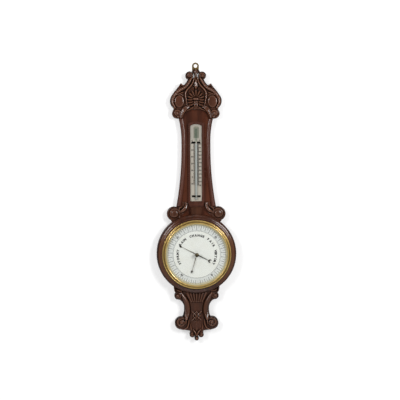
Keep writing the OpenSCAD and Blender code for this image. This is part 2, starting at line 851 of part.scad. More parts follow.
module bridge_screws() {
  color(steel) at_dial() for (s = [-1, 1])
    screw([capsule_x, s * bridge_foot_z], 2.6, bridge_shank_r, recess_d, base_d + 2, 1.4);
}

spring_screw_at = [[-36, 5], [-36, -5]];
spring_shank_r = 1.1;

// A C-shaped leaf: its lower leaf is screwed to the bridge and its upper leaf lifts the post
module mainspring() {
  bend_r = (spring_gap + 2 * spring_t) / 2;
  bend_at = [adjuster_x - 2, bridge_d + bend_r];
  color(steel) at_dial() difference() {
    side_piece(-8, 8) {
      difference() {
        translate(bend_at) circle(bend_r);
        translate(bend_at) circle(bend_r - spring_t);
        translate(bend_at + [0, -bend_r - 1]) square(2 * bend_r + 2);
      }
      translate([bend_at[0], bridge_d]) square([-24 - bend_at[0], spring_t]);
      translate([bend_at[0], upper_leaf_d]) square([capsule_x + 6 - bend_at[0], spring_t]);
    }
    pin([capsule_x, 0], post_r + 0.5, upper_leaf_d - 1, lever_d + 1);
    for (p = spring_screw_at) pin(p, spring_shank_r, bridge_d - 1, bridge_d + 1);
  }
}

module spring_screws() {
  color(steel) at_dial() for (p = spring_screw_at)
    screw(p, 2, spring_shank_r, bridge_d - 2, bridge_d + spring_t, 1.1);
}

// The lever that takes the capsule's movement across to the rocking bar
module main_lever() {
  lug_d = lever_d - 3;
  color(brass) at_dial() {
    difference() {
      relief(lever_d, lever_d + lever_t) {
        translate([capsule_x - 7, -6]) square([14, 12]);
        polygon([[capsule_x, 4.4], lever_tip + [0, 1.8], lever_tip + [0, -1.8], [capsule_x, -4.4]]);
        translate(lever_tip) circle(1.8);
      }
      pin([capsule_x, 0], post_r + 0.5, lever_d - 1, lever_d + lever_t + 1);
      pin([10, 3.4], 1.2, lever_d - 1, lever_d + lever_t + 1);
      pin([22, 5], 1, lever_d - 1, lever_d + lever_t + 1);
    }
    side_piece(lever_tip[1] - 1.8, lever_tip[1] - 0.6)
      translate([lever_tip[0] - 1.2, lug_d]) square([2.4, 3 + eps]);
    translate([lever_tip[0], -(lug_d + 1.1), lever_tip[1] - 0.7]) cylinder(r = 0.5, h = 2.2);
  }
}

// A thin rod with an eye at each end; its lower eye is loose on the rocking bar's pin
module link_rod() {
  upper_d = lever_d - 1.9;
  z = lever_tip[1];
  color(steel) at_dial() side_piece(z - 0.4, z + 0.8) difference() {
    union() {
      translate([lever_tip[0], upper_d]) circle(1.3);
      translate([lever_tip[0], rocker_d]) circle(1.9);
      translate([lever_tip[0] - 0.5, rocker_d]) square([1, upper_d - rocker_d]);
    }
    translate([lever_tip[0], upper_d]) circle(0.5);
    translate([lever_tip[0], rocker_d]) circle(1.2);
  }
}

rocker_post_z = [-24, 21];

// The rocking bar: a pivoted shaft with a short arm for the link and a long arm for the chain
module rocking_bar() {
  arm_top = lower_plate_d + arbor_plate_t + 2.3;
  arm_z = lever_tip[1] + 1.4;
  span = rocker_post_z[1] - rocker_post_z[0];
  color(steel) at_dial() {
    translate([rocker_x, -rocker_d, rocker_post_z[0]]) {
      translate([0, 0, 1.7]) cylinder(r = 1.5, h = span - 3.4);
      translate([0, 0, -0.5]) cylinder(r = 0.7, h = span + 1);
    }
    side_piece(arm_z, arm_z + 1.2) {
      translate([lever_tip[0], rocker_d - 1.1]) square([rocker_x - lever_tip[0], 2.2]);
      translate([lever_tip[0], rocker_d]) circle(1.1);
    }
    translate([lever_tip[0], -rocker_d, lever_tip[1] - 0.8])
      cylinder(r = 0.5, h = arm_z - lever_tip[1] + 1);
    side_piece(chain_z - 0.6, chain_z + 0.6) {
      polygon([[rocker_x - 1.4, rocker_d], [rocker_x + 1.4, rocker_d], [rocker_x + 0.7, arm_top],
        [rocker_x - 0.7, arm_top]]);
      translate([rocker_x, arm_top]) circle(0.9);
    }
  }
}

module rocker_posts() {
  color(brass) at_dial() for (z = rocker_post_z) side_piece(z - 1.5, z + 1.5) difference() {
    union() {
      translate([rocker_x, rocker_d]) circle(2.8);
      translate([rocker_x - 2.8, base_d]) square([5.6, rocker_d - base_d]);
      translate([rocker_x - 5, base_d]) square([10, 1.6]);
    }
    translate([rocker_x, rocker_d]) circle(0.7 + running);
  }
}

module movement_pillars() {
  color(brass) at_dial() for (p = pillar_at) {
    pin(p, 2.3, base_d, lower_plate_d);
    pin(p, 1.4, recess_d, base_d + eps);
    pin(p, 1.4, lower_plate_d - eps, upper_plate_d + arbor_plate_t + 1.4);
  }
}

// A V of two arms from the arbor to the pillars
module arbor_plate_outline() {
  circle(5.5);
  for (m = [0, 1]) mirror([0, m]) {
    translate(pillar_at[0]) circle(4.6);
    polygon([[-4, 0], [4, -1], pillar_at[0] + [4, -1], pillar_at[0] + [-4, 1]]);
  }
}

module arbor_plate(from, bore) {
  color(brass) at_dial() difference() {
    relief(from, from + arbor_plate_t) arbor_plate_outline();
    pin([0, 0], bore, from - 1, from + arbor_plate_t + 1);
    for (p = pillar_at) pin(p, 1.4, from - 1, from + arbor_plate_t + 1);
  }
}

module lower_arbor_plate() {
  arbor_plate(lower_plate_d, pivot_r + running);
}

module upper_arbor_plate() {
  arbor_plate(upper_plate_d, arbor_r + running);
}

module pillar_sleeves() {
  color(brass) for (p = pillar_at) turned(p + [0, dial_z])
    translate([1.4, lower_plate_d + arbor_plate_t])
      square([1, upper_plate_d - lower_plate_d - arbor_plate_t]);
}

module pillar_nuts() {
  nut_d = upper_plate_d + arbor_plate_t;
  color(steel) at_dial() for (p = pillar_at) difference() {
    relief(nut_d, nut_d + 1.4) translate(p) circle(3, $fn = 6);
    pin(p, 1.4, nut_d - 1, nut_d + 3);
  }
}

// The screw behind the adjuster hole: turning it tilts the bridge and moves the hand
module adjusting_screw() {
  head_d = 2.7;
  tip_d = bridge_d - bridge_t - gap;
  color(steel) at_dial() difference() {
    union() {
      pin([adjuster_x, 0], 3.2, head_d, recess_d - gap);
      turned([adjuster_x, 0]) polygon([[0, recess_d - gap - eps], [adjuster_r, recess_d - gap - eps],
        [adjuster_r, tip_d - 1], [0.6, tip_d], [0, tip_d]]);
    }
    relief(head_d - 1, head_d + 1) translate([adjuster_x - 4, -0.5]) square([8, 1]);
  }
}

case_board();
head_carving();
edge_mouldings();
thermometer_frame();
keystone();
shoulder_scrolls();
dial_surround();
tail_carving();
back_cover();
back_cover_screws();
hanging_plate();
hanging_plate_screws();
thermometer_plate();
thermometer_tube();
thermometer_fluid();
tube_clips();
clip_screws();
bezel();
bezel_pins();
glass();
reflector_ring();
glass_bush();
set_knob();
set_hand();
dial_plate();
dial_pillars();
main_hand();
hand_collet();
arbor();
hairspring();
chain();
base_plate();
base_plate_screws();
capsule_lower_half();
capsule_upper_half();
capsule_post();
spring_bridge();
bridge_screws();
mainspring();
spring_screws();
main_lever();
link_rod();
rocking_bar();
rocker_posts();
movement_pillars();
lower_arbor_plate();
pillar_sleeves();
upper_arbor_plate();
pillar_nuts();
adjusting_screw();
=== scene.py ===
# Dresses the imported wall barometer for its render. Metres, +Z up, the front faces -Y, and the origin is
# the centre of the hanging hole on the plane of the wall. Carving, printing and the places of finishes
# are given in millimetres.
import json
import math

import bpy
import numpy as np
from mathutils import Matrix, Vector


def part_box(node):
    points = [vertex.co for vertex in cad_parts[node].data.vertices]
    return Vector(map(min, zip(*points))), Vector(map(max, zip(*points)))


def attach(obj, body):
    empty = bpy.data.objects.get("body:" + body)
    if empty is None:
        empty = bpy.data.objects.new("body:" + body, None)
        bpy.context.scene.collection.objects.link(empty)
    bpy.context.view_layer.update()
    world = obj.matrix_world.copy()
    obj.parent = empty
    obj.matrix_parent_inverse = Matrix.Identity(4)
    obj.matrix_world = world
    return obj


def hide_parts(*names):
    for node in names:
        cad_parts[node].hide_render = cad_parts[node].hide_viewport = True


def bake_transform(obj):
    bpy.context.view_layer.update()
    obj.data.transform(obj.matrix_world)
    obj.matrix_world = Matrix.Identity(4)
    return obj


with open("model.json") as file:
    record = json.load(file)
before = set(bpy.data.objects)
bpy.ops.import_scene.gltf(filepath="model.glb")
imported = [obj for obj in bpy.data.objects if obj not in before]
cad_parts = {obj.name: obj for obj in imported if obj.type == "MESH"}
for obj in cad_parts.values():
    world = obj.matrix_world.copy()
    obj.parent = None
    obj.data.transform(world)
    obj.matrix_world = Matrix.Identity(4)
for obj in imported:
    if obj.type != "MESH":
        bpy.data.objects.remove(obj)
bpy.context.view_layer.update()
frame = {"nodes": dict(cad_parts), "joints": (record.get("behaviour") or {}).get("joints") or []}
nodes = frame["nodes"]
mm = 0.001
dialZ = next(j["pos_m"][2] for j in frame["joints"] if j["name"] == "hand_turn")
boardFront = -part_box("case_board")[0].y
scene = bpy.context.scene
print("frame loaded,", len(nodes), "nodes")


# The camera, the wall behind the case and the lamps

shot = {
    "distance": 2.4,           # from the lens to the board
    "eye": (-0.11, -0.26),     # left of the case, and a little above its middle
    "aim": (0.0117, -0.4127),
    "roll": -0.2,              # degrees that the case hangs out of true in the picture
    "pixel": 0.003092,         # metres across one pixel of the picture, on the board
    "picture": 400,
}
room = {
    "white": (0.6, 0.6, 0.6),
    "glow": 0.42,              # what the camera sees of the wall beside the lamps' light
    "air": 0.38,               # plain light from all sides
    "sheen": 0.05,             # the same, as polished surfaces mirror it
    "dull": 0.74,              # how little of the wall and the floor they mirror
    "floorZ": -1.15,
    "size": 5.0,
    "bend": 0.3,               # radius between the wall and the floor
    "bendSteps": 12,
    "gap": 0.0006,             # between the case's back and the wall
}
lamps = {
    # name: place, size, power
    "rightLamp": ((1.15, -1.65, 0.2), (0.5, 0.66), 24.5),
    "leftLamp": ((-1.2, -1.5, 0.24), (0.46, 0.7), 16.8),
    "topLamp": ((0.05, -0.95, 0.95), (0.8, 0.3), 2.0),
    "lowLamp": ((0.0, -1.1, -1.55), (0.8, 0.25), 2.0),
}
lampAim = Vector((0, 0, -0.42))    # the middle of the case


def newObject(name, data):
    made = bpy.data.objects.new(name, data)
    scene.collection.objects.link(made)
    return made


def makeCamera():
    data = bpy.data.cameras.new("camera")
    camera = newObject("camera", data)
    eye = Vector((shot["eye"][0], -boardFront - shot["distance"], shot["eye"][1]))
    aim = Vector((shot["aim"][0], -boardFront, shot["aim"][1]))
    camera.location = eye
    camera.rotation_euler = (aim - eye).to_track_quat("-Z", "Y").to_euler()
    camera.rotation_euler.rotate_axis("Z", math.radians(shot["roll"]))
    data.sensor_width = 36
    data.lens = data.sensor_width * (aim - eye).length / (shot["picture"] * shot["pixel"])
    scene.camera = camera


makeCamera()
scene.view_settings.view_transform = "Standard"


# Node maths: a wire stands for one socket, and sums on wires add the nodes

class Wire:
    def __init__(self, tree, socket=None):
        self.tree = tree
        self.socket = socket

    # Any node: its type, its settings, the values or wires of its sockets, and which output is wanted
    def node(self, kind, settings=None, inputs=None, out=0):
        made = self.tree.nodes.new(kind)
        for key, value in (settings or {}).items():
            setattr(made, key, value)
        for key, value in (inputs or {}).items():
            if isinstance(value, Wire):
                self.tree.links.new(value.socket, made.inputs[key])
            else:
                made.inputs[key].default_value = value
        return Wire(self.tree, made.outputs[out] if len(made.outputs) > out else None)

    def calc(self, operation, *values):
        return self.node("ShaderNodeMath", {"operation": operation}, dict(enumerate(values)))

    def __add__(self, other):
        return self.calc("ADD", self, other)

    __radd__ = __add__

    def __sub__(self, other):
        return self.calc("SUBTRACT", self, other)

    def __rsub__(self, other):
        return self.calc("SUBTRACT", other, self)

    def __mul__(self, other):
        return self.calc("MULTIPLY", self, other)

    __rmul__ = __mul__

    # 0 where this wire is at low, 1 where it is at high
    def between(self, low, high):
        return self.node("ShaderNodeMapRange", {}, {"Value": self, "From Min": low, "From Max": high})

    # 0 where this wire is at low, most where it is at high
    def rise(self, low, high, most):
        return self.between(low, high) * most

    def mix(self, factor, first, second):
        inputs = {0: factor, 6: rgba(first), 7: rgba(second)}
        return self.node("ShaderNodeMix", {"data_type": "RGBA"}, inputs, 2)

    def noise(self, place, scale, detail=2.0, roughness=0.5):
        inputs = {"Vector": place, "Scale": scale, "Detail": detail, "Roughness": roughness}
        return self.node("ShaderNodeTexNoise", {}, inputs)

    # Object coordinates, moved and then stretched
    def place(self, move=(0, 0, 0), scale=(1, 1, 1)):
        here = self.node("ShaderNodeTexCoord", out=3)
        return self.node("ShaderNodeMapping", {}, {"Vector": here, "Location": move, "Scale": scale})

    # One of the object coordinates: 0 is X, 1 is Y and 2 is Z
    def part(self, axis):
        return self.node("ShaderNodeSeparateXYZ", {}, {0: self.place()}, axis)

    def blend(self, factor, first, second):
        return self.node("ShaderNodeMixShader", {}, {0: factor, 1: first, 2: second})

    def vector(self, *parts):
        return self.node("ShaderNodeCombineXYZ", {}, dict(enumerate(parts)))

    def surface(self, output="ShaderNodeOutputMaterial"):
        self.node(output, {}, {"Surface": self})


def rgba(colour):
    return (*colour, 1) if isinstance(colour, tuple) else colour


def newMaterial(name):
    material = bpy.data.materials.new(name)
    material.use_nodes = True
    material.node_tree.nodes.clear()
    return material, Wire(material.node_tree)


# The last nodes of a material: a bump, the shader with its even values on its own sockets, the output.
# Where dust is 1 the finish has no gloss
def finishMaterial(wire, inputs, height, strength, depth, dust=None):
    bump = {"Height": height, "Strength": strength, "Distance": depth}
    inputs["Normal"] = wire.node("ShaderNodeBump", {}, bump)
    shader = wire.node("ShaderNodeBsdfPrincipled", {}, inputs)
    if dust is not None:
        plain = wire.node("ShaderNodeBsdfPrincipled", {}, {
            "Base Color": inputs["Base Color"], "Roughness": 1.0, "Specular IOR Level": 0.0})
        shader = wire.blend(dust, shader, plain)
    shader.surface()


# 1 for the named kinds of light ray
def lit(wire, rays):
    path = wire.tree.nodes.new("ShaderNodeLightPath")
    total = Wire(wire.tree, path.outputs[rays[0]])
    for name in rays[1:]:
        total = wire.calc("MAXIMUM", total, Wire(wire.tree, path.outputs[name]))
    return total


def makeStage():
    material, wire = newMaterial("roomWhite")
    seen = lit(wire, ["Is Camera Ray", "Is Glossy Ray", "Is Transmission Ray"])
    paint = wire.node("ShaderNodeBsdfDiffuse", {}, {"Color": rgba(room["white"])})
    glow = wire.node("ShaderNodeEmission", {}, {"Color": (1, 1, 1, 1), "Strength": seen * room["glow"]})
    plaster = wire.node("ShaderNodeAddShader", {}, {0: paint, 1: glow})
    # Light reaches the back of the case, and a view from behind looks through the wall
    behind = wire.node("ShaderNodeNewGeometry", out=6)
    passing = wire.calc("MAXIMUM", lit(wire, ["Is Shadow Ray", "Is Diffuse Ray"]), behind)
    passing = wire.calc("MAXIMUM", passing, lit(wire, ["Is Glossy Ray"]) * room["dull"])
    clear = wire.node("ShaderNodeBsdfTransparent")
    wire.blend(passing, plaster, clear).surface()
    # The wall's section, from its top round the bend and along the floor
    half, bend, steps = room["size"] / 2, room["bend"], room["bendSteps"]
    wall, floor = room["gap"], room["floorZ"]
    side = [(wall, half)]
    for step in range(steps + 1):
        angle = math.radians(90 * step / steps)
        side.append((wall - bend * (1 - math.cos(angle)), floor + bend * (1 - math.sin(angle))))
    side.append((-room["size"], floor))
    vertices = [(x, y, z) for y, z in side for x in (-half, half)]
    faces = [(2 * i, 2 * i + 2, 2 * i + 3, 2 * i + 1) for i in range(len(side) - 1)]
    mesh = bpy.data.meshes.new("backdrop")
    mesh.from_pydata(vertices, [], faces)
    mesh.shade_smooth()
    mesh.materials.append(material)
    newObject("backdrop", mesh)


def makeLight():
    world = bpy.data.worlds.new("room")
    scene.world = world
    world.use_nodes = True
    world.node_tree.nodes.clear()
    wire = Wire(world.node_tree)
    strength = lit(wire, ["Is Camera Ray"]) * (1 - room["air"]) + room["air"]
    strength = strength - lit(wire, ["Is Glossy Ray"]) * (room["air"] - room["sheen"])
    sky = wire.node("ShaderNodeBackground", {}, {"Color": (1, 1, 1, 1), "Strength": strength})
    sky.surface("ShaderNodeOutputWorld")
    for name, (place, size, power) in lamps.items():
        data = bpy.data.lights.new(name, "AREA")
        data.shape = "RECTANGLE"
        data.size, data.size_y = size
        data.energy = power
        lamp = newObject(name, data)
        lamp.location = place
        lamp.rotation_euler = (lampAim - Vector(place)).to_track_quat("-Z", "Y").to_euler()


makeStage()
makeLight()
print("camera, wall and lamps ready")


# Woods

woods = {
    # dark and mid are the two tones of the grain, red the worn flats, crest the rubbed edges with a painted
    # highlight, and the near-black tone the pores and a painted shade in the hollows. A ring is two radii
    # about the dial, its colour and its strength
    "carvedWood": {"dark": (0.036, 0.0120, 0.0055), "mid": (0.072, 0.0245, 0.0115),
                   "red": (0.090, 0.0270, 0.0115), "crest": (0.172, 0.077, 0.046),
                   "poreAndHollowShade": (0.005, 0.0020, 0.0012), "redness": 0.75, "roughness": 0.23, "coat": 0.15},
    "caseWood": {"dark": (0.036, 0.0088, 0.0034), "mid": (0.072, 0.0185, 0.0074),
                 "red": (0.122, 0.033, 0.013), "crest": (0.12, 0.06, 0.04),
                 "poreAndHollowShade": (0.012, 0.005, 0.003), "redness": 0.7, "roughness": 0.27, "coat": 0.05,
                 "ior": 1.38, "bare": "backWood"},
    "turnedWood": {"dark": (0.031, 0.0100, 0.0048), "mid": (0.064, 0.0190, 0.0085),
                   "red": (0.090, 0.0245, 0.011), "crest": (0.12, 0.06, 0.04),
                   "poreAndHollowShade": (0.012, 0.005, 0.003), "redness": 0.5, "roughness": 0.2, "coat": 0.2,
                   "rings": [(106.5, 116.5, (0.145, 0.060, 0.028), 0.6)]},
    "railWood": {"dark": (0.050, 0.0135, 0.0068), "mid": (0.093, 0.0280, 0.0155),
                 "red": (0.118, 0.0335, 0.0175), "crest": (0.16, 0.08, 0.06),
                 "poreAndHollowShade": (0.02, 0.008, 0.005), "redness": 0.4, "roughness": 0.3, "coat": 0.08,
                 "ior": 1.46},
    "backWood": {"dark": (0.17, 0.085, 0.045), "mid": (0.27, 0.15, 0.085), "red": (0.22, 0.11, 0.06),
                 "crest": (0.3, 0.18, 0.1), "poreAndHollowShade": (0.06, 0.03, 0.02), "redness": 0.4,
                 "roughness": 0.62, "coat": 0.0},
}
grain = {
    # how fine each pattern is, and how it is squeezed in Z so that it runs up the case
    "bands": (70, 0.05), "figure": (22, 0.12), "pores": (1500, 0.03), "handling": 11,
    # where on a pattern, or on the relief, one colour has gone over into the next
    # on the relief, one range is where its crests take a rubbed colour with a painted highlight, and the
    # hollow range is where its hollows take a painted shade
    "tones": (0.36, 0.66), "red": (0.45, 0.72), "rubbedAndLit": (0.1, 1.15), "hollow": (-0.05, -0.9),
    # the same for the pores' colour, for roughness twice and for dust, and how much there is of each
    "open": (0.56, 0.68, 0.5), "handled": (0.3, 0.75, 0.16), "dull": (0.0, -0.9, 0.22),
    "dusty": (0.0, -0.5, 0.85),
    "polish": -0.06,               # goes on the wood's own roughness
    "sides": (0.45, 0.045),        # the share of the radius beyond which a ring's tint comes in at the sides, and its softness
    "ringEdge": 1.5,               # softness of the ring's edges, in millimetres
    "bareDepth": (-0.6, -0.2),     # the back of the board has no stain
    "heights": (-0.55, 0.3, 0.35),     # of the pores, the bands and the handling in the bump
    "relief": (0.22, 0.0003),      # strength and depth of the bump
    "lacquer": 0.14,               # roughness of the coat
}


# Coordinates in the plane of the dial, from its centre
def spokeFromDial(wire):
    return wire.place(move=(0, 0, -dialZ), scale=(1, 0, 1))


def radiusFromDial(wire):
    return wire.node("ShaderNodeVectorMath", {"operation": "LENGTH"}, {0: spokeFromDial(wire)}, 1)


# 1 between two radii in millimetres, with soft edges
def ringAt(radius, low, high, soft):
    return radius.between((low - soft) * mm, low * mm) * radius.between((high + soft) * mm, high * mm)


def woodMaterial(name, look):
    material, wire = newMaterial(name)

    def pattern(kind, move, *detail):
        fine, squeeze = grain[kind]
        return wire.noise(wire.place(move=move, scale=(1, 1, squeeze)), fine, *detail)

    bands = pattern("bands", (0, 0, 0), 4, 0.6)
    figure = pattern("figure", (0.3, 0.1, 0), 3)
    pores = pattern("pores", (0, 0, 0), 2, 0.6)
    handling = wire.noise(wire.place(move=(0, 0, 0.7)), grain["handling"], 4, 0.6)
    crest = wire.node("ShaderNodeAttribute", {"attribute_name": "crest"}, out=2)
    colour = wire.mix(bands.between(*grain["tones"]), look["dark"], look["mid"])
    colour = wire.mix(figure.between(*grain["red"]) * look["redness"], colour, look["red"])
    # lighter on the crests of the relief, partly rubbed wear and partly a painted highlight; near black in
    # its hollows, a painted shade; the open pores take the same near-black tone
    colour = wire.mix(crest.between(*grain["rubbedAndLit"]), colour, look["crest"])
    colour = wire.mix(crest.between(*grain["hollow"]), colour, look["poreAndHollowShade"])
    colour = wire.mix(pores.rise(*grain["open"]), colour, look["poreAndHollowShade"])
    # lighter and redder on a band of the turned ring at its left and right sides
    share, soft = grain["sides"]
    for low, high, tint, strength in look.get("rings", []):
        radius = radiusFromDial(wire)
        sides = (wire.calc("ABSOLUTE", wire.part(0)) - radius * share).between(0, soft)
        colour = wire.mix(ringAt(radius, low, high, grain["ringEdge"]) * sides * strength, colour, tint)
    if "bare" in look:
        back = woods[look["bare"]]
        low, high = grain["bareDepth"]
        bare = wire.mix(bands.between(*grain["tones"]), back["dark"], back["mid"])
        colour = wire.mix(wire.part(1).between(low * mm, high * mm), colour, bare)
    rough = handling.rise(*grain["handled"]) + (look["roughness"] + grain["polish"])
    rough = rough + crest.rise(*grain["dull"])
    deep, raised, uneven = grain["heights"]
    height = pores * deep + bands * raised + handling * uneven
    dust = crest.rise(*grain["dusty"])
    finishMaterial(wire, {
        "Base Color": colour, "Roughness": rough, "IOR": look.get("ior", 1.5), "Coat Weight": look["coat"],
        "Coat Roughness": grain["lacquer"]}, height, *grain["relief"], dust)
    return material


wood = {name: woodMaterial(name, look) for name, look in woods.items()}


# Metals

# What a metal has where its own entry says nothing. Spread is how far the tarnish has gone, lathe and
# scratch are the depths of the turning marks and of the scratches
plainMetal = {"spread": (0.5, 0.8), "roughness": 0.3, "lathe": 0.0, "scratch": 0.25, "strength": 0.15,
              "metallic": 1.0, "coat": 0.0, "rings": []}
metals = {
    # the bezel's dark ring is a painted shade in its cove
    "polishedBrass": {"colour": (0.66, 0.46, 0.145), "tarnish": (0.42, 0.27, 0.08), "spread": (0.52, 0.8),
                      "roughness": 0.34, "scratch": 0.0, "strength": 0.01, "metallic": 0.8, "coat": 0.8,
                      "rings": [(99.0, 102.2, (0.22, 0.138, 0.036), 0.85)]},
    "paleBrass": {"colour": (0.74, 0.67, 0.45), "tarnish": (0.58, 0.50, 0.31), "spread": (0.45, 0.8),
                  "roughness": 0.34, "lathe": 0.1, "scratch": 0.0, "strength": 0.05, "metallic": 0.55},
    # the knob's pale ring at its middle is a painted highlight
    "knobBrass": {"colour": (0.10, 0.085, 0.05), "tarnish": (0.05, 0.04, 0.028), "spread": (0.4, 0.7),
                  "roughness": 0.36, "lathe": 0.3, "rings": [(0.0, 1.4, (0.26, 0.21, 0.11), 0.5)]},
    "agedBrass": {"colour": (0.50, 0.33, 0.11), "tarnish": (0.13, 0.085, 0.04), "spread": (0.42, 0.72),
                  "lathe": 0.2, "strength": 0.2},
    "movementBrass": {"colour": (0.56, 0.39, 0.14), "tarnish": (0.33, 0.21, 0.085), "roughness": 0.32,
                      "strength": 0.2},
    "nickelSilver": {"colour": (0.62, 0.59, 0.52), "tarnish": (0.4, 0.36, 0.29), "spread": (0.5, 0.85),
                     "roughness": 0.27},
    "steel": {"colour": (0.46, 0.46, 0.46), "tarnish": (0.22, 0.19, 0.16), "spread": (0.52, 0.8)},
    "bluedSteel": {"colour": (0.035, 0.038, 0.055), "tarnish": (0.07, 0.05, 0.035), "spread": (0.5, 0.75),
                   "strength": 0.1},
    "handBronze": {"colour": (0.085, 0.068, 0.045), "tarnish": (0.05, 0.04, 0.028), "spread": (0.45, 0.75),
                   "roughness": 0.33, "strength": 0.1, "arms": (0.30, 0.24, 0.155)},
    "blackedBrass": {"colour": (0.022, 0.021, 0.02), "tarnish": (0.055, 0.045, 0.03), "spread": (0.6, 0.8),
                     "roughness": 0.38, "archHighlight": (0.30, 0.28, 0.24)},
    "mercury": {"colour": (0.62, 0.63, 0.64), "tarnish": (0.5, 0.51, 0.52), "roughness": 0.08,
                "strength": 0.02},
}
wear = {
    "patches": 45, "scratches": 1900, "turning": 2600,     # how fine
    "drawn": 0.2,                          # the scratches are squeezed in Z
    "dull": (0.35, 0.75, 0.13),            # where on the patches roughness is added, and how much
    "polish": -0.03,                       # goes on the metal's own roughness
    "ringEdge": 0.5,                       # softness of a ring's edges, in millimetres
    "bloom": 0.04, "depth": 0.0002,        # height of the patches, and depth of the bump
    "lacquer": 0.16,                       # roughness of the coat
    "clips": (3.2, 2.0),                   # the clips have a painted highlight where they arch over the tube, this near to its middle
    "armsTo": (-0.917, 0, -0.399),         # the way to the half of the dial where both long arms are at rest
    "armPoint": (50.5, 50.0),              # they are bright up to their dark points
}


def metalMaterial(name, look):
    look = {**plainMetal, **look}
    material, wire = newMaterial(name)
    patches = wire.noise(wire.place(), wear["patches"], 5, 0.65)
    scratches = wire.noise(wire.place(scale=(1, 1, wear["drawn"])), wear["scratches"], 2)
    radius = radiusFromDial(wire)
    rings = wire.noise(wire.vector(radius * wear["turning"]), 1.0, 3)
    colour = wire.mix(patches.between(*look["spread"]), look["colour"], look["tarnish"])
    # rings of colour about the dial: the bezel's dark ring is a painted shade, the knob's pale middle a
    # painted highlight
    for low, high, tint, share in look["rings"]:
        colour = wire.mix(ringAt(radius, low, high, wear["ringEdge"]) * share, colour, tint)
    # a painted highlight on the clips where they arch over the tube
    if "archHighlight" in look:
        far, near = wear["clips"]
        on = wire.calc("ABSOLUTE", wire.part(0)).between(far * mm, near * mm)
        colour = wire.mix(on, colour, look["archHighlight"])
    if "arms" in look:
        along = wire.node("ShaderNodeVectorMath", {"operation": "DOT_PRODUCT"}, {
            0: spokeFromDial(wire), 1: wear["armsTo"]}, 1)
        far, near = wear["armPoint"]
        bright = along.between(0, 0.5 * mm) * radius.between(far * mm, near * mm)
        colour = wire.mix(bright, colour, look["arms"])
    rough = patches.rise(*wear["dull"]) + (look["roughness"] + wear["polish"])
    height = scratches * look["scratch"] + rings * look["lathe"] + patches * wear["bloom"]
    finishMaterial(wire, {
        "Base Color": colour, "Metallic": look["metallic"], "Roughness": rough, "Coat Weight": look["coat"],
        "Coat Roughness": wear["lacquer"]}, height, look["strength"], wear["depth"])
    return material


metal = {name: metalMaterial(name, look) for name, look in metals.items()}


# Enamel, ink and glass

papers = {
    # band: two radii about the dial and the tint of the ring under its figures. The plate's darkening: two
    # heights between which the plate darkens going up, and its tint above them
    "whiteEnamel": {"colour": (0.76, 0.765, 0.73), "stain": (0.705, 0.695, 0.63), "roughness": 0.32,
                    "coat": 0.3, "band": (73.0, 85.6, (0.63, 0.645, 0.635))},
    "silveredPlate": {"colour": (0.395, 0.362, 0.302), "stain": (0.32, 0.275, 0.22), "roughness": 0.36,
                      "coat": 0.1, "darkerAbove": (-232.0, -222.0, (0.31, 0.285, 0.245))},
    "blackInk": {"colour": (0.016, 0.015, 0.015), "stain": (0.03, 0.028, 0.026), "roughness": 0.5},
    "greenInk": {"colour": (0.10, 0.11, 0.085), "stain": (0.15, 0.16, 0.12), "roughness": 0.5},
    "greenGround": {"colour": (0.205, 0.202, 0.150), "stain": (0.24, 0.232, 0.178), "roughness": 0.45},
}
age = {
    "patches": 24, "specks": 900,          # how fine
    "stained": (0.48, 0.8),                # where on the patches the stain begins, and where it is full
    "dull": (0.3, 0.7, 0.12),              # where on them roughness is added, and how much
    "polish": -0.04,                       # goes on the plate's own roughness
    "tinted": 0.8, "bandEdge": 0.4,        # share of a second tint, and softness of a band's edges
    "speckHeight": 0.5, "relief": (0.06, 0.0002),
    "lacquer": 0.1,                        # roughness of the coat
}
smear = {"fine": 30, "squeeze": 0.6, "relief": (0.03, 0.0003)}     # what wiping leaves on the glass
glasses = {
    "dialGlass": {"tint": (0.985, 0.99, 0.985), "ior": 1.45, "roughness": 0.015},
    "tubeGlass": {"tint": (0.86, 0.90, 0.885), "ior": 1.5, "roughness": 0.08, "milk": {
        # the milky stem's colour darkens towards its edges as it turns from the lens, a painted shade
        "middle": (0.38, 0.41, 0.385), "edge": (0.27, 0.295, 0.265), "turned": (0.25, 0.75),
        "roughness": 0.3, "body": 0.8,
        "mirror": (0.7, 0.04),             # share of the gloss on the milky stem, and on the clear one
        "top": -234.0, "fade": 2.0}},      # the stem is milky up to here, and clear above
}


def paperMaterial(name, look):
    material, wire = newMaterial(name)
    patches = wire.noise(wire.place(), age["patches"], 5, 0.6)
    specks = wire.noise(wire.place(), age["specks"], 2)
    colour = wire.mix(patches.between(*age["stained"]), look["colour"], look["stain"])
    if "band" in look:
        low, high, tint = look["band"]
        band = ringAt(radiusFromDial(wire), low, high, age["bandEdge"])
        colour = wire.mix(band * age["tinted"], colour, tint)
    if "darkerAbove" in look:
        low, high, tint = look["darkerAbove"]
        colour = wire.mix(wire.part(2).rise(low * mm, high * mm, age["tinted"]), colour, tint)
    rough = patches.rise(*age["dull"]) + (look["roughness"] + age["polish"])
    finishMaterial(wire, {
        "Base Color": colour, "Roughness": rough, "Coat Weight": look.get("coat", 0.0),
        "Coat Roughness": age["lacquer"]}, specks * age["speckHeight"] + patches, *age["relief"])
    return material


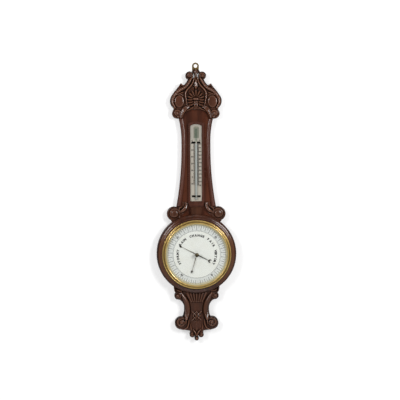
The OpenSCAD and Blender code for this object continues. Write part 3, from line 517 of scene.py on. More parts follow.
def glassMaterial(name, look):
    material, wire = newMaterial(name)
    smears = wire.noise(wire.place(scale=(1, 1, smear["squeeze"])), smear["fine"], 4, 0.6)
    strength, depth = smear["relief"]
    bump = wire.node("ShaderNodeBump", {}, {"Height": smears, "Strength": strength, "Distance": depth})
    outside = 1 - wire.node("ShaderNodeNewGeometry", out=6)
    mirror = wire.node("ShaderNodeFresnel", {}, {"IOR": look["ior"], "Normal": bump}) * outside
    clear = wire.node("ShaderNodeBsdfTransparent", {}, {"Color": rgba(look["tint"])})
    gloss = wire.node("ShaderNodeBsdfAnisotropic", {}, {
        "Color": (1, 1, 1, 1), "Roughness": look["roughness"], "Normal": bump})
    if "milk" in look:
        milk = look["milk"]
        facing = wire.node("ShaderNodeLayerWeight", {}, {"Blend": 0.35}, 1)
        # painted shade towards the stem's edges as it turns away
        colour = wire.mix(facing.between(*milk["turned"]), milk["middle"], milk["edge"])
        stem = wire.node("ShaderNodeBsdfPrincipled", {}, {
            "Base Color": colour, "Roughness": milk["roughness"]})
        body = wire.part(2).rise(milk["top"] * mm, (milk["top"] - milk["fade"]) * mm, milk["body"])
        clear = wire.blend(body, clear, stem)
        milky, always = milk["mirror"]
        mirror = mirror * (body * milky + always)
    wire.blend(mirror, clear, gloss).surface()
    return material


paper = {name: paperMaterial(name, look) for name, look in papers.items()}
glass = {name: glassMaterial(name, look) for name, look in glasses.items()}

finishes = {
    wood["caseWood"]: ["case_board"],
    wood["carvedWood"]: ["keystone"],
    wood["turnedWood"]: ["dial_surround"],
    wood["railWood"]: ["edge_mouldings", "thermometer_frame"],
    wood["backWood"]: ["back_cover"],
    metal["polishedBrass"]: ["bezel", "bezel_pins"],
    metal["paleBrass"]: ["reflector_ring"],
    metal["knobBrass"]: ["set_knob", "glass_bush"],
    metal["agedBrass"]: ["hanging_plate", "hanging_plate_screws", "back_cover_screws"],
    metal["handBronze"]: ["set_hand", "main_hand"],
    metal["movementBrass"]: ["base_plate", "spring_bridge", "main_lever", "rocker_posts", "movement_pillars",
                             "lower_arbor_plate", "upper_arbor_plate", "pillar_sleeves", "dial_pillars",
                             "hand_collet"],
    metal["nickelSilver"]: ["capsule_lower_half", "capsule_upper_half"],
    metal["steel"]: ["arbor", "capsule_post", "link_rod", "rocking_bar", "adjusting_screw", "mainspring"],
    metal["bluedSteel"]: ["hairspring", "base_plate_screws", "bridge_screws", "spring_screws", "pillar_nuts"],
    metal["blackedBrass"]: ["tube_clips", "clip_screws"],
    metal["mercury"]: ["thermometer_fluid"],
    paper["whiteEnamel"]: ["dial_plate"],
    paper["silveredPlate"]: ["thermometer_plate"],
    glass["dialGlass"]: ["glass"],
    glass["tubeGlass"]: ["thermometer_tube"],
}
for material, names in finishes.items():
    for name in names:
        for slot in nodes[name].material_slots:
            slot.material = material
print("finishes ready")


# Meshes: points in millimetres become an object in metres that rides on a body

def addPiece(name, vertices, faces, material, body, sharp=40):
    mesh = bpy.data.meshes.new(name)
    mesh.from_pydata((np.asarray(vertices) * mm).tolist(), [], faces)
    mesh.update()
    return placeMesh(mesh, name, material, body, sharp)


def placeMesh(mesh, name, material, body, sharp=40):
    mesh.name = name
    mesh.materials.clear()
    mesh.materials.append(material)
    mesh.shade_smooth()
    mesh.set_sharp_from_angle(angle=math.radians(sharp))
    piece = newObject(name, mesh)
    if body:
        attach(piece, body)
    return piece


# The helper's mesh, with its text or its tree worked out. The helper goes
def plainMesh(helper):
    mesh = bpy.data.meshes.new_from_object(helper.evaluated_get(bpy.context.evaluated_depsgraph_get()))
    bpy.data.objects.remove(helper)
    return mesh


# Carving: heights above the board on a grid, inside a CAD node's own outline

carving = {
    "step": 0.62,              # of the grid
    "quickStep": 1.2,
    "ground": 3.0,             # height of the sunk ground
    "least": 0.8,              # height at the outline
    "round": 2.2,              # radius of the outer edge
    "blend": 0.22,             # softness where two forms meet
    "reach": 2.6,              # width over which a crest or a crevice is judged
    "crest": 1.6,              # a full crest stands this far over what is round it
    "tool": 0.07,              # height of the tool's marks
    "sharp": 55,               # degrees between two faces from which their edge is sharp
    "clear": 0.04,             # share of a step that every grid point keeps from the outline
    "channel": 0.72,           # share of a band's half width that a hollow takes up
    "bandVein": (0.55, 0.07),  # how far a band's veins lean, and their depth
    "leafVein": (0.9, 0.14),   # the same for a leaf
    "lobe": 0.16,              # how far the edge of a leaf goes in between two lobes
    "rib": (0.22, 0.8),        # height of a leaf's midrib by the leaf's own, and its radius
    "voluteWidths": (1, 0.8, 0.5), "voluteRises": (0.72, 0.9, 1), "voluteHollow": 0.3,     # towards its eye
    "eyeRise": (0.62, 0.5),    # where a volute's eye starts and how far it goes on up, by the volute's height
}


# The edges round the face that lies on the board, as pairs of points
def outlineOf(node):
    mesh = nodes[node].data
    points = np.array([v.co for v in mesh.vertices]) / mm
    mesh.calc_loop_triangles()
    faces = np.array([t.vertices for t in mesh.loop_triangles])
    flat = np.all(np.abs(points[faces][:, :, 1] + boardFront / mm) < 0.02, axis=1)
    known = {}
    ids = np.array([known.setdefault(tuple(p), len(known)) for p in np.round(points[:, (0, 2)], 3).tolist()])
    flatPoints = np.array(list(known))
    ways = {(a, b) for face in ids[faces[flat]].tolist() for a, b in zip(face, face[1:] + face[:1])}
    rim = [(a, b) for a, b in ways if (b, a) not in ways and a != b]
    return flatPoints[np.array(sorted(rim))]


# Distance to the outline on the grid: positive inside
def edgeDistance(x, z, rim):
    nearest = np.full(x.shape, 1e9)
    inside = np.zeros(x.shape, bool)
    for (ax, az), (bx, bz) in rim:
        dx, dz = bx - ax, bz - az
        t = np.clip(((x - ax) * dx + (z - az) * dz) / (dx * dx + dz * dz), 0, 1)
        nearest = np.minimum(nearest, (x - ax - t * dx) ** 2 + (z - az - t * dz) ** 2)
        if az != bz:
            inside ^= ((az > z) != (bz > z)) & (x < ax + dx * (z - az) / dz)
    return np.where(inside, 1, -1) * np.sqrt(nearest)


# A smooth curve through the points
def smoothPath(points, steps=6):
    p = np.array(points, float)
    p = np.vstack([2 * p[0] - p[1], p, 2 * p[-1] - p[-2]])
    path = []
    for a, b, c, d in zip(p, p[1:], p[2:], p[3:]):
        bend, twist = 2 * a - 5 * b + 4 * c - d, 3 * b - 3 * c + d - a
        path += [b + 0.5 * t * ((c - a) + t * (bend + t * twist)) for t in np.arange(steps) / steps]
    return np.vstack([path, p[-2]])


# From one radius to another. A negative number of turns winds it clockwise
def spiral(at, r0, r1, start, turns, steps=44):
    s = np.linspace(0, 1, steps)
    angle = np.radians(start) + s * turns * 2 * np.pi
    r = r0 * (r1 / r0) ** s
    return np.stack([at[0] + r * np.cos(angle), at[1] + r * np.sin(angle)], 1)


# A full section: 1 in the middle, 0 at the edge, and steeply down past it
def rounded(t):
    return (1 - t ** 2) / np.maximum(1 - 0.3 * t ** 2, 0.2)


class Carving:
    # Both halves are alike, so X is counted from the middle either way
    def __init__(self, x, z):
        self.x = np.abs(x)
        self.z = z
        self.h = np.full(x.shape, carving["ground"])

    # Lays a form on the ground, or on a base of its own, and blends it with what is there
    def lay(self, form, base=None, box=...):
        soft = carving["blend"]
        shape = np.full(self.h.shape, -50.0)
        shape[box] = (carving["ground"] if base is None else base) + form
        self.h = np.logaddexp(self.h / soft, shape / soft) * soft

    # For every grid point near a path: how far off it is, how far along (0 to 1), and on which side
    def near(self, path, reach):
        low, high = path.min(0) - reach, path.max(0) + reach
        box = (self.x > low[0]) & (self.x < high[0]) & (self.z > low[1]) & (self.z < high[1])
        x, z = self.x[box], self.z[box]
        off, along, side = np.full(x.shape, 1e9), np.zeros(x.shape), np.zeros(x.shape)
        runs = np.hypot(*np.diff(path, axis=0).T)
        before = np.concatenate([[0], np.cumsum(runs)])
        for (ax, az), (bx, bz), run, start in zip(path, path[1:], runs, before):
            dx, dz = bx - ax, bz - az
            t = np.clip(((x - ax) * dx + (z - az) * dz) / (run * run + 1e-9), 0, 1)
            d = np.hypot(x - ax - t * dx, z - az - t * dz)
            closer = d < off
            off = np.where(closer, d, off)
            along = np.where(closer, (start + t * run) / before[-1], along)
            side = np.where(closer, np.sign(dx * (z - az) - dz * (x - ax)), side)
        return box, off, along, side

    # A band along a path. Widths and rises are spread along it. Hollow makes it a channel, roof gives it
    # two flat slopes, lean lowers one side, and veins cut across it
    def band(self, path, widths, rises, hollow=0.0, base=None, lean=0.0, veins=0, roof=0.0):
        box, off, along, side = self.near(np.asarray(path, float), max(widths) * 1.5 + 1)
        width = np.interp(along, np.linspace(0, 1, len(widths)), widths)
        rise = np.interp(along, np.linspace(0, 1, len(rises)), rises)
        t = off / np.maximum(width, 0.05)
        form = np.where(t < 1, 1 - roof * t, (1 - roof) + 3 * (1 - t)) if roof else rounded(t)
        form = form * (1 - hollow * np.clip(1 - (t / carving["channel"]) ** 2, 0, 1))
        form = form * (1 + lean * np.minimum(t, 1) * side)
        if veins:
            slant, depth = carving["bandVein"]
            cuts = np.clip(np.cos(2 * np.pi * (along * veins + t * slant)), 0, 1)
            form = form - depth * cuts * np.clip(1 - t, 0, 1)
        self.lay(rise * form, base, box)

    # A band along a smooth curve through the points
    def sweep(self, points, widths, rises, **shape):
        self.band(smoothPath(points), widths, rises, **shape)

    # Flat above 1 gives it a broad top and steeper sides
    def dome(self, at, size, rise, base=None, flat=1.0):
        t = np.hypot((self.x - at[0]) / size[0], (self.z - at[1]) / size[1]) ** flat
        self.lay(rise * rounded(np.minimum(t, 3)), base)

    # A scroll: a band that winds into an eye
    def volute(self, at, radius, start, turns, rise, width=0.3, eye=0.27):
        path = spiral(at, radius * (1 - width), radius * eye * 0.6, start, turns)
        widths = [radius * width * share for share in carving["voluteWidths"]]
        rises = [rise * share for share in carving["voluteRises"]]
        self.band(path, widths, rises, hollow=carving["voluteHollow"])
        foot, top = carving["eyeRise"]
        self.dome(at, (radius * eye, radius * eye), rise * top, base=carving["ground"] + rise * foot)

    # A pointed leaf on a midrib, with side veins. The less fat, the nearer its root it is widest
    def leaf(self, points, width, rise, veins, fat=0.45, rib=0.8):
        box, off, along, _ = self.near(smoothPath(points), width * 1.5 + 1)
        s = np.clip(along, 1e-3, 1)
        outline = np.sin(np.pi * s ** fat) ** 0.8
        lobes = 1 - carving["lobe"] * np.abs(np.cos(np.pi * s * veins))
        t = np.minimum(off / np.maximum(width * outline * lobes, 0.4), 3)
        slant, depth = carving["leafVein"]
        cuts = np.abs(np.cos(np.pi * (s * veins + t * slant))) ** 3
        form = rounded(t) - depth * cuts * np.minimum(t, 1)
        high, thick = carving["rib"]
        self.lay(rise * (form + rib * high * np.exp(-(off / thick) ** 2)), None, box)

    # A cut of a gouge along a smooth curve, shallow at both ends
    def groove(self, points, width, depth):
        box, off, along, _ = self.near(smoothPath(points), width + 1)
        ends = np.clip(np.minimum(along, 1 - along) * 8, 0.2, 1)
        self.h[box] -= depth * np.clip(1 - (off / width) ** 2, 0, 1) * ends


# The mean of a field over a square of cells, twice, where the mask is set
def blurred(field, mask, cells):
    def once(a):
        for axis in (0, 1):
            total = np.cumsum(np.concatenate([np.zeros_like(a.take([0], axis)), a], axis), axis)
            low = np.clip(np.arange(a.shape[axis]) - cells, 0, a.shape[axis])
            high = np.clip(np.arange(a.shape[axis]) + cells + 1, 0, a.shape[axis])
            a = (total.take(high, axis) - total.take(low, axis)) / (2 * cells + 1)
        return a
    value, weight = field * mask, mask.astype(float)
    for _ in range(2):
        value, weight = once(value), once(weight)
    return value / np.maximum(weight, 1e-6)


# Turns the heights into a closed solid on the board, cut to the outline
def carvedPiece(name, replaced, design):
    step = carving["step"]
    rim = outlineOf(replaced)
    low, high = rim.min((0, 1)) - 2 * step, rim.max((0, 1)) + 2 * step
    wide = math.ceil(max(-low[0], high[0]) / step)
    xs = np.arange(-wide, wide + 1) * step
    zs = np.arange(low[1], high[1], step)
    x, z = np.meshgrid(xs, zs, indexing="ij")
    # no grid point lies so near the outline that a face gets too thin
    d = edgeDistance(x, z, rim)
    least = step * carving["clear"]
    d = np.where(np.abs(d) < least, np.where(d < 0, -1, 1) * least, d)
    inside = d > 0
    work = Carving(x, z)
    design(work)
    tool = carving["tool"] * np.sin(x * 1.9 + 2 * np.sin(z * 0.7)) * np.sin(z * 1.6 + 2 * np.sin(x * 0.6))
    h = work.h + tool
    r = carving["round"]
    h = np.maximum(h - (r - np.sqrt(np.clip(r * r - np.clip(r - d, 0, r) ** 2, 0, None))), carving["least"])
    around = blurred(h, inside, max(1, round(carving["reach"] / step)))
    crest = np.clip((h - around) / carving["crest"], -1, 1)

    vertices, crests, corners, crossings = [], [], {}, {}
    front = -boardFront / mm

    def corner(i, j):
        if (i, j) not in corners:
            corners[i, j] = len(vertices)
            vertices.append((xs[i], front - h[i, j], zs[j]))
            crests.append(crest[i, j])
        return corners[i, j]

    # the point where the outline crosses a side of a cell
    def crossing(a, b):
        key = (a, b) if a < b else (b, a)
        if key not in crossings:
            t = d[key[0]] / (d[key[0]] - d[key[1]])
            spot = [(1 - t) * f[key[0]] + t * f[key[1]] for f in (x, h, z, crest)]
            crossings[key] = len(vertices)
            vertices.append((spot[0], front - spot[1], spot[2]))
            crests.append(spot[3])
        return crossings[key]

    faces, walls = [], []
    count = inside[:-1, :-1].astype(int) + inside[1:, :-1] + inside[1:, 1:] + inside[:-1, 1:]
    for i, j in np.argwhere(count > 0).tolist():
        ring = [(i, j), (i + 1, j), (i + 1, j + 1), (i, j + 1)]
        if count[i, j] == 4:
            faces.append([corner(*c) for c in ring])
            continue
        face, cuts = [], []
        for a, b in zip(ring, ring[1:] + ring[:1]):
            if inside[a]:
                face.append(corner(*a))
            if inside[a] != inside[b]:
                face.append(crossing(a, b))
                cuts.append((crossing(a, b), inside[a]))
        faces.append(face)
        for k, (cut, out) in enumerate(cuts):
            if out:
                walls.append((cut, cuts[(k + 1) % len(cuts)][0]))
    frontCount = len(vertices)
    back = [(vx, front, vz) for vx, _, vz in vertices]
    under = [[frontCount + v for v in reversed(face)] for face in faces]
    sides = [[b, a, a + frontCount, b + frontCount] for a, b in walls]
    piece = addPiece(name, vertices + back, faces + under + sides, wood["carvedWood"], "case",
                     carving["sharp"])
    layer = piece.data.attributes.new("crest", "FLOAT", "POINT")
    layer.data.foreach_set("value", np.array(crests + [0.0] * frontCount, np.float32))
    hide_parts(replaced)
    print(name, "carved,", len(piece.data.polygons), "faces")


def headDesign(work):
    ground = carving["ground"]
    # stem, crowning scrolls, and the two straps that run down from them
    work.leaf([(0, -46), (0, -30), (0, -11)], 9.5, 5.5, veins=1, fat=1.3, rib=1.5)
    work.volute((19.6, -30.8), 11.8, 215, -1.6, 7.5)
    work.sweep([(3.6, -24), (4.5, -36), (9, -52), (16, -63), (25, -72), (31, -82), (32, -93), (29.5, -106),
                (28.5, -117), (24.5, -124)],
               [2.6, 2.8, 3.2, 3.6, 3.6, 3.2, 2.6, 1.6], [5, 5.5, 6, 6, 5.5, 5, 4.6, 3.5], lean=-0.3)
    work.sweep([(14, -40), (21, -51), (29, -62), (39, -70), (51, -76.5), (63, -87), (71, -101), (72.5, -114),
                (66, -127)],
               [3.6, 5, 5.8, 6, 5.8, 5.6, 5, 3.6], [6, 7.5, 8, 7.5, 7.5, 7.5, 7, 5],
               hollow=0.08, lean=-0.3, veins=13)
    work.leaf([(38, -64), (44, -58), (49.5, -50)], 4.6, 5.5, veins=2, fat=0.6)
    work.leaf([(38, -82), (46, -85), (58, -88)], 3.2, 4, veins=2)
    # the long leaf on the centre line
    work.leaf([(0, -40), (0, -57), (0, -75)], 10, 3.4, veins=1, fat=1.2, rib=0.0)
    work.band([(0, -42), (0, -50), (0, -59), (0, -64), (0, -72)],
              [0.6, 2.4, 4.2, 3.8, 0.8], [5.5, 6.2, 6.6, 6.2, 5.0], base=ground + 1.6, roof=0.2)
    work.groove([(10.5, -57), (6.5, -67), (0.4, -76)], 1.1, 2.0)
    # side bosses and the rings round them
    work.dome((50.8, -109.5), (15.4, 19.4), 4.6, flat=5.0)
    work.band(spiral((51.5, -109), 21.2, 21.2, 128, -0.52), [1.2, 2.6, 3.6, 3.0, 1.4], [2.5, 5, 6.5, 5, 2.5])
    # palmette: petals and leaves tied by a knot, on a fluted stem
    for points, width, rise in (
            ([(0, -98), (0, -86), (0, -73)], 5.2, 6.8),
            ([(2.5, -98), (7.5, -87), (13, -76)], 5.0, 6.6),
            ([(5, -98), (13, -92), (21, -83.5)], 4.8, 5.8),
            ([(6, -100.5), (15, -99), (26.5, -94.5)], 4.6, 5.6),
            ([(6, -104.5), (15, -105.5), (27, -105)], 4.4, 5.4),
            ([(5, -109), (14, -113), (27, -114.5)], 4.6, 5.8),
            ([(5, -112), (12, -120), (25, -122.5)], 4.0, 6.2),
            ([(5.5, -124), (11, -130), (19, -131)], 3.8, 4.8)):
        work.leaf(points, width, rise, veins=1, fat=1.25, rib=1.0)
    work.band([(-4.4, -102.6), (4.4, -102.6)], [3.6, 3.6], [2.6, 2.6], base=ground + 4.2)
    for z in (-98.2, -107.0):
        work.groove([(-7, z), (0, z), (7, z)], 0.9, 1.8)
    work.band([(3.2, -110), (3.4, -122), (1.8, -136)], [3.0, 3.4, 2.4], [6, 6.6, 5])
    # the lower straps, the arch's rim, and the lower scrolls
    work.sweep([(21, -124.5), (28, -128), (36, -135), (41.5, -145), (44.5, -156), (47, -164)],
               [2.8, 5.0, 5.6, 5.0, 4.0, 3.2], [4, 6.6, 7.4, 7, 6, 5], lean=-0.2, roof=0.16)
    turn = np.radians(np.arange(40, 91, 10))
    rim = np.stack([8 + 37.2 * np.cos(turn), -170 + 37.2 * np.sin(turn)], 1)
    work.band(np.vstack([rim, (0, -132.8)]), [1.8, 2.3], [4.2, 4.6])
    work.volute((57.4, -146), 15.4, 250, -1.7, 7.5)
    work.leaf([(62, -128), (68, -131), (74, -138)], 3.6, 5, veins=2)


def tailDesign(work):
    ground = carving["ground"]
    # crescents and small scrolls under the dial
    work.leaf([(70, -680), (70, -691), (64, -701)], 5, 5, veins=3)
    work.leaf([(44, -694), (54, -695), (66, -689)], 5, 4.5, veins=3)
    work.volute((57.5, -711), 11.3, 120, 1.5, 6.5)
    # a fluted bell that hangs from the surround
    for top, low in ((0, 0), (9.6, 5.4), (19.2, 10.8), (28.5, 16.2)):
        work.band([(top, -702), ((top + low) / 2, -717), (low, -729)], [4.9, 4.1, 3.1], [4.0, 4.6, 3.4])
    # rails that sweep down and roll over above the volutes
    work.sweep([(48, -702), (41, -714), (34.5, -727), (30, -742), (28.6, -757), (29.5, -770), (31.5, -780)],
               [4, 6.2, 8, 8.8, 8.8, 8, 6.5], [4.5, 6, 7, 7.2, 7.0, 7.0, 6.6], lean=-0.12)
    work.band([(30.5, -761), (31.5, -771), (32.5, -782)], [3.4, 5.0, 3.4], [0.6, 4.4, 7.6], base=ground + 5.4,
              roof=0.15, lean=-0.15)
    work.groove([(40.5, -700), (32, -713), (24, -728), (19.4, -744), (18.4, -760), (20, -776)], 1.2, 1.8)
    work.band([(34, -785), (33.5, -792), (35, -799)], [2.4, 3, 2], [4, 6, 4])
    work.volute((47, -795), 20.5, 120, -1.75, 7.5, width=0.24, eye=0.24)
    work.sweep([(24.5, -786), (25.5, -800), (31, -812), (43, -818)], [2, 2.8, 2.8, 2], [3, 4.5, 4.5, 3])
    # crossed straps, a low leaf and the pendant
    for z in (-761, -787):
        work.band([(0, -774), (14, z)], [2.1, 2.1], [4.6, 3.8])
    work.band([(0, -760), (11.5, -774), (0, -788)], [1.6, 1.8, 1.6], [3.4, 3.6, 3.4])
    work.leaf([(0, -762), (0, -768), (0, -773)], 2.6, 5.0, veins=1)
    work.leaf([(0, -776), (0, -781), (0, -787)], 2.6, 5.0, veins=1)
    work.leaf([(0, -788), (0, -804), (0, -823)], 9, 1.8, veins=2, fat=0.8, rib=0.6)
    work.leaf([(16, -818), (19, -806), (17, -793)], 3.4, 2.8, veins=2)
    work.sweep([(1.2, -836), (4.5, -826), (11.5, -817.5)], [2.4, 3.0, 2.2], [5.5, 6.2, 4.5])
    work.volute((13.9, -834.2), 8, 100, -1.3, 6)
    work.dome((0, -845), (4.2, 6.2), 6)


def shoulderDesign(work):
    # the S curve from the shaft into the volute, and the leaf that fills the corner
    work.sweep([(33, -418), (30.5, -427), (34, -437), (40.5, -444), (50, -449)],
               [2.2, 3.4, 4.2, 3.8, 2.4], [2.0, 5.0, 8.0, 7.4, 3.0], roof=0.1)
    work.sweep([(29, -420), (28.6, -434), (32, -446), (41, -457), (52, -466)],
               [1.4, 2, 2.2, 1.8, 1], [3, 4, 4, 3.6, 2])
    work.band(spiral((69, -455), 17.1, 6.4, 165, -0.95), [4.3, 3.4, 2.1], [4.6, 5.8, 6.4], hollow=0.3)
    work.dome((67.5, -454.5), (12.6, 12.6), 6.6, flat=2.6)
    work.leaf([(45, -432), (52, -438), (55, -450)], 4, 4.6, veins=3)
    work.leaf([(48, -474), (58, -474), (72, -478)], 4.5, 4.4, veins=3)


carvedPiece("headRelief", "head_carving", headDesign)
carvedPiece("tailRelief", "tail_carving", tailDesign)
carvedPiece("shoulderRelief", "shoulder_scrolls", shoulderDesign)


# Printing: flat shapes in X and Z, each a thin closed solid just in front of its plate

dial = {
    "front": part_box("dial_plate")[0].y / mm,
    # each word, the angle of its middle and the degrees that it spans
    "words": [("STORMY", 187.5, 46.5), ("RAIN", 138, 27.5), ("CHANGE", 89.5, 45.5), ("FAIR", 39.5, 32),
              ("VERY DRY", -9.5, 47)],
    "wordRadius": 55.0, "wordHeight": 7.7,
    "figures": [("28", 234), ("29", 138), ("30", 42), ("31", -54)],
    "figureRadius": 75.6, "figureHeight": 5.6,
    "inch": 96.0,              # degrees round the dial for one inch
    "circles": [(72.4, 0.55), (74.2, 0.3), (91.0, 0.5)],
    "tenthRadius": 75.6, "tenthHeight": 3.2,
    # name, hundredths of an inch from one mark to the next, inner radius, length, width
    "marks": [("fineMarks", 1, 86.4, 3.4, 0.26), ("halfMarks", 5, 81.4, 9.0, 0.85),
              ("tenthMarks", 10, 79.4, 11.0, 1.15)],
}
scale = {
    "front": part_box("thermometer_plate")[0].y / mm,
    "fluidTop": -300.0, "fluidDegrees": 68.0,      # where the fluid stands
    "degree": 1.156,                               # height of one degree Fahrenheit
    "fahrenheit": range(10, 121, 10), "celsius": range(-10, 51, 10),
    "figureX": 11.9, "figureHeight": 5.0,
    "rightward": 0.8, "small": 0.8,                # shift of the Fahrenheit figures, height of those over 99
    "letterAbove": 10.5, "letterHeight": 4.6,
    "line": 4.0, "ladder": 8.4, "narrower": 0.8,   # the Celsius ladder is narrower
    "lineWidth": 0.7, "markWidth": 0.68, "boldWidth": 0.85,
    "boldPast": {"fahrenheit": 1.0, "celsius": 0.6},       # how far a bold mark runs past the ladder
}
panel = {
    # a plain ground with an arched top behind the end of the tube, filled with upright lines
    "left": -7.6, "right": 9.4, "bottom": -222.0, "spring": -190.0, "arch": 5.0,
    "sunk": 0.03,
    "lines": 13, "lineWidth": 0.6, "margin": 0.8, "lift": 0.75,
}
ink = {"sunk": 0.05, "proud": 0.06, "bold": 0.066, "spacing": 0.12}


class Print:
    def __init__(self, front):
        self.front = front
        self.vertices, self.faces = [], []

    def add(self, points, faces):
        start, n = len(self.vertices), len(points)
        for y in (self.front - ink["proud"], self.front + ink["sunk"]):
            self.vertices += [(px, y, pz) for px, pz in points]
        ways = set()
        for face in faces:
            self.faces.append([start + v for v in face])
            self.faces.append([start + n + v for v in reversed(face)])
            ways.update(zip(face, face[1:] + face[:1]))
        for a, b in ways:
            if (b, a) not in ways:
                self.faces.append([start + b, start + a, start + n + a, start + n + b])

    def circle(self, at, r, width, steps=180):
        turn = np.linspace(0, 2 * np.pi, steps, endpoint=False)
        radii = (r - width / 2, r + width / 2)
        spots = [(at[0] + q * math.cos(a), at[1] + q * math.sin(a)) for q in radii for a in turn]
        self.add(spots, [[i, steps + i, steps + (i + 1) % steps, (i + 1) % steps] for i in range(steps)])

    # A word on a straight line, its middle at one point
    def line(self, text, at, height):
        shapes = [glyph(letter) for letter in text]
        spacing = ink["spacing"]
        width = sum(s[2] for s in shapes) * height + spacing * height * (len(text) - 1)
        x = at[0] - width / 2
        for points, faces, wide in shapes:
            self.add([(x + px * height, at[1] + (pz - 0.5) * height) for px, pz in points], faces)
            x += (wide + spacing) * height

    # A word on an arc that reads clockwise, its middle at one angle. Given a span, it fills that
    def arc(self, text, angle, r, height, span=None):
        shapes = [glyph(letter) for letter in text]
        width = sum(s[2] for s in shapes) * height
        gaps, middle = len(text) - 1, r + height / 2
        spacing = ink["spacing"] if span is None else (math.radians(span) * middle - width) / gaps / height
        width += spacing * height * gaps
        along = -width / 2
        for points, faces, wide in shapes:
            a = math.radians(angle) - (along + wide * height / 2) / middle
            out, right = np.array((math.cos(a), math.sin(a))), np.array((math.sin(a), -math.cos(a)))
            centre = np.array((0, dialZ / mm)) + out * r
            self.add([tuple(centre + out * pz * height + right * (px - wide / 2) * height)
                      for px, pz in points], faces)
            along += (wide + spacing) * height

    def piece(self, name, material, slot):
        addPiece(name, self.vertices, self.faces, material, "case")


glyphs = {}


# A letter as welded points and faces, one unit high and starting at 0, with its width
def glyph(letter):
    if letter == " ":
        return [], [], 0.35
    if letter not in glyphs:
        curve = bpy.data.curves.new("glyph", "FONT")
        curve.body = letter
        curve.resolution_u = 2
        curve.offset = ink["bold"]
        mesh = plainMesh(newObject("glyph", curve))
        raw = np.array([v.co[:2] for v in mesh.vertices])
        known = {}
        ids = [known.setdefault(tuple(p), len(known)) for p in np.round(raw, 4).tolist()]
        points = np.array(list(known))
        faces = []
        for polygon in mesh.polygons:
            face = [ids[v] for v in polygon.vertices]
            px, pz = points[face].T
            turning = np.sum(px * np.roll(pz, -1) - pz * np.roll(px, -1))
            if len(set(face)) == len(face) and abs(turning) > 1e-7:
                faces.append(face if turning > 0 else face[::-1])
        low, high = points.min(0), points.max(0)
        size = high[1] - low[1]
        glyphs[letter] = ((points - low) / size, faces, (high[0] - low[0]) / size)
    return glyphs[letter]


# Geometry Nodes trees. Values are set by the sockets' identifiers, then the result is made a plain mesh

def growTree(name, lengths, build):
    tree = bpy.data.node_groups.new(name, "GeometryNodeTree")
    tree.interface.new_socket("Geometry", in_out="OUTPUT", socket_type="NodeSocketGeometry")
    kinds = {"Count": "NodeSocketInt", "Material": "NodeSocketMaterial"}
    labels = ["Count", *lengths, "Material"]
    for label in labels:
        tree.interface.new_socket(label, in_out="INPUT", socket_type=kinds.get(label, "NodeSocketFloat"))
    wire = Wire(tree)
    group = tree.nodes.new("NodeGroupInput")
    given = {label: Wire(tree, group.outputs[label]) for label in labels}
    spot, instance, turn = build(wire, given)
    row = wire.node("GeometryNodeMeshLine", {}, {"Count": given["Count"]})
    placed = wire.node("GeometryNodeSetPosition", {}, {"Geometry": row, "Position": spot})
    instances = wire.node("GeometryNodeInstanceOnPoints", {}, {
        "Points": placed, "Instance": instance, "Rotation": turn})
    solid = wire.node("GeometryNodeRealizeInstances", {}, {0: instances})
    made = wire.node("GeometryNodeSetMaterial", {}, {"Geometry": solid, "Material": given["Material"]})
    wire.node("NodeGroupOutput", {}, {0: made})
    return tree


def grow(tree, name, values, body):
    helper = newObject(name, bpy.data.meshes.new(name))
    modifier = helper.modifiers.new("grow", "NODES")
    modifier.node_group = tree
    for item in tree.interface.items_tree:
        if item.in_out == "INPUT":
            modifier[item.identifier] = values[item.name]
    return placeMesh(plainMesh(helper), name, values["Material"], body)


# The next three give the place of instance number i, the instance and its turn

# Marks on an arc: each a thin bar that points outwards
def arcMarks(wire, given):
    i = wire.node("GeometryNodeInputIndex")
    angle = given["Start"] + i * given["Step"]
    middle = given["Radius"] + given["Length"] * 0.5
    spot = wire.vector(wire.calc("COSINE", angle) * middle, given["Depth"],
                       wire.calc("SINE", angle) * middle + given["Height"])
    size = wire.vector(given["Length"], given["Thickness"], given["Width"])
    return spot, wire.node("GeometryNodeMeshCube", {}, {"Size": size}), wire.vector(0.0, angle * -1.0)


# Marks in a straight row
def rowMarks(wire, given):
    i = wire.node("GeometryNodeInputIndex")
    spot = wire.vector(given["Start X"] + i * given["Step X"], given["Depth"],
                       given["Start Z"] + i * given["Step Z"])
    size = wire.vector(given["Size X"], given["Thickness"], given["Size Z"])
    return spot, wire.node("GeometryNodeMeshCube", {}, {"Size": size}), wire.vector()


chain = {
    "pitch": 0.00078, "wire": 0.00009,     # metres
    "radius": 0.42, "stretch": 1.6,        # of a link: its share of the pitch, and its length to its width
}


# Links of a chain in a row along X, each turned a quarter from the last
def chainLinks(wire, given):
    i = wire.node("GeometryNodeInputIndex")
    spot = wire.vector(given["Start"] + i * given["Pitch"], given["Depth"], given["Height"])
    loop = wire.node("GeometryNodeCurvePrimitiveCircle", {}, {
        "Resolution": 12, "Radius": given["Pitch"] * chain["radius"]})
    long = wire.vector(chain["stretch"], 1.0, 1.0)
    oval = wire.node("GeometryNodeTransform", {}, {"Geometry": loop, "Scale": long})
    section = wire.node("GeometryNodeCurvePrimitiveCircle", {}, {"Resolution": 6, "Radius": given["Wire"]})
    link = wire.node("GeometryNodeCurveToMesh", {}, {"Curve": oval, "Profile Curve": section})
    return spot, link, wire.vector(wire.calc("MODULO", i, 2.0) * (math.pi / 2) + math.pi / 4)


arcTree = growTree("arcMarks", ["Start", "Step", "Radius", "Length", "Width", "Thickness", "Depth", "Height"],
                   arcMarks)
rowTree = growTree("rowMarks", ["Start X", "Step X", "Start Z", "Step Z", "Size X", "Size Z", "Thickness",
                                "Depth"], rowMarks)
chainTree = growTree("chainLinks", ["Start", "Pitch", "Wire", "Depth", "Height"], chainLinks)


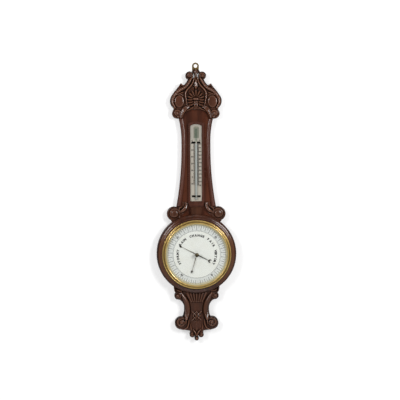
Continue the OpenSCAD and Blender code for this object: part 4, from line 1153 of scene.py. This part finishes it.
# Marks of ink on a plate whose front is given, grown from one of the trees
def inkMarks(tree, name, front, values, material):
    grow(tree, name, {
        **values, "Thickness": (ink["proud"] + ink["sunk"]) * mm,
        "Depth": (front - (ink["proud"] - ink["sunk"]) / 2) * mm, "Material": material}, "case")


def printDial():
    black = Print(dial["front"])
    for text, angle, span in dial["words"]:
        black.arc(text, angle, dial["wordRadius"], dial["wordHeight"], span)
    for text, angle in dial["figures"]:
        black.arc(text, angle, dial["figureRadius"], dial["figureHeight"])
    for r, width in dial["circles"]:
        black.circle((0, dialZ / mm), r, width)
    first = dial["figures"][0][1]
    for tenth in range(1, 10 * (len(dial["figures"]) - 1)):
        if tenth % 10:
            angle = first - tenth * dial["inch"] / 10
            black.arc(str(tenth % 10), angle, dial["tenthRadius"], dial["tenthHeight"])
    black.piece("dialFigures", paper["blackInk"], "dial_enamel")
    # the marks go on past the first and the last figure and close the circle
    for name, every, radius, length, width in dial["marks"]:
        inkMarks(arcTree, name, dial["front"], {
            "Count": math.floor(36000 / dial["inch"] / every), "Start": math.radians(first),
            "Step": -math.radians(dial["inch"] / 100 * every), "Radius": radius * mm, "Length": length * mm,
            "Width": width * mm, "Height": dialZ}, paper["blackInk"])


def fahrenheit(celsius):
    return celsius * 1.8 + 32


def heightOf(degrees):
    return scale["fluidTop"] + (degrees - scale["fluidDegrees"]) * scale["degree"]


# Upright or level bars beside the tube, in millimetres. Size and step go along X and Z
def scaleBars(name, count, start, step, size, material=paper["blackInk"]):
    inkMarks(rowTree, name, scale["front"], {
        "Count": count, "Start X": start[0] * mm, "Step X": step[0] * mm, "Start Z": start[1] * mm,
        "Step Z": step[1] * mm, "Size X": size[0] * mm, "Size Z": size[1] * mm}, material)


def printScale():
    low, high = scale["fahrenheit"][0], scale["fahrenheit"][-1]
    cold, hot = scale["celsius"][0], scale["celsius"][-1]
    right, left = scale["figureX"] + scale["rightward"], -scale["figureX"]
    black = Print(scale["front"])
    for value in scale["fahrenheit"]:
        height = scale["figureHeight"] * (scale["small"] if value > 99 else 1)
        black.line(str(value), (right, heightOf(value)), height)
    for value in scale["celsius"]:
        black.line(str(abs(value)), (left, heightOf(fahrenheit(value))), scale["figureHeight"])
    for letter, x in (("F", scale["figureX"]), ("C", left)):
        black.line(letter, (x, heightOf(high) + scale["letterAbove"]), scale["letterHeight"])
    black.piece("scaleFigures", paper["blackInk"], "scale_enamel")

    # each ladder: its side of the tube, its width, its lowest degree, and its marks
    wide = scale["ladder"] - scale["line"]
    ladders = {"fahrenheit": (1, wide, low, [(1, high - low + 1), (10, (high - low) // 10 + 1)]),
               "celsius": (-1, wide - scale["narrower"], fahrenheit(cold),
                           [(1.8, hot - cold + 1), (9, (hot - cold) // 5 + 1)])}
    for name, (side, width, first, (fine, bold)) in ladders.items():
        past = wide + scale["boldPast"][name]
        for ending, (every, count), length, thick in (("Marks", fine, width, scale["markWidth"]),
                                                      ("Tens", bold, past, scale["boldWidth"])):
            scaleBars(name + ending, count, (side * (scale["line"] + length / 2), heightOf(first)),
                      (0.0, every * scale["degree"]), (length, thick))
    for name, (side, width, *_) in ladders.items():
        scaleBars(name + "Lines", 2, (side * scale["line"], heightOf((low + high) / 2)), (side * width, 0.0),
                  (scale["lineWidth"], heightOf(high) - heightOf(low)))


def printPanel():
    left, right, bottom, spring = (panel[key] for key in ("left", "right", "bottom", "spring"))
    half, middle = (right - left) / 2, (left + right) / 2
    arch = [(middle + half * math.cos(math.radians(a)), spring + panel["arch"] * math.sin(math.radians(a)))
            for a in range(0, 181, 10)]
    ground = Print(scale["front"] + panel["sunk"])
    ground.add([(left, bottom), (right, bottom)] + arch, [list(range(len(arch) + 2))])
    ground.piece("panelGround", paper["greenGround"], "scale_enamel")
    step = (right - left - 2 * panel["margin"]) / (panel["lines"] - 1)
    scaleBars("panelLines", panel["lines"], (left + panel["margin"], (bottom + spring) / 2 + panel["lift"]),
              (step, 0.0), (panel["lineWidth"], spring - bottom), paper["greenInk"])


def hangChain():
    low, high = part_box("chain")
    pitch = chain["pitch"]
    middle = (0, (low.y + high.y) / 2, (low.z + high.z) / 2)
    links = grow(chainTree, "drumChain", {
        "Count": int((high.x - low.x) / pitch), "Start": low.x + pitch / 2, "Pitch": pitch,
        "Wire": chain["wire"], "Depth": middle[1], "Height": middle[2], "Material": metal["steel"]},
        None)
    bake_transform(links)
    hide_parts("chain")


printDial()
printScale()
printPanel()
hangChain()
print("printing and chain ready")
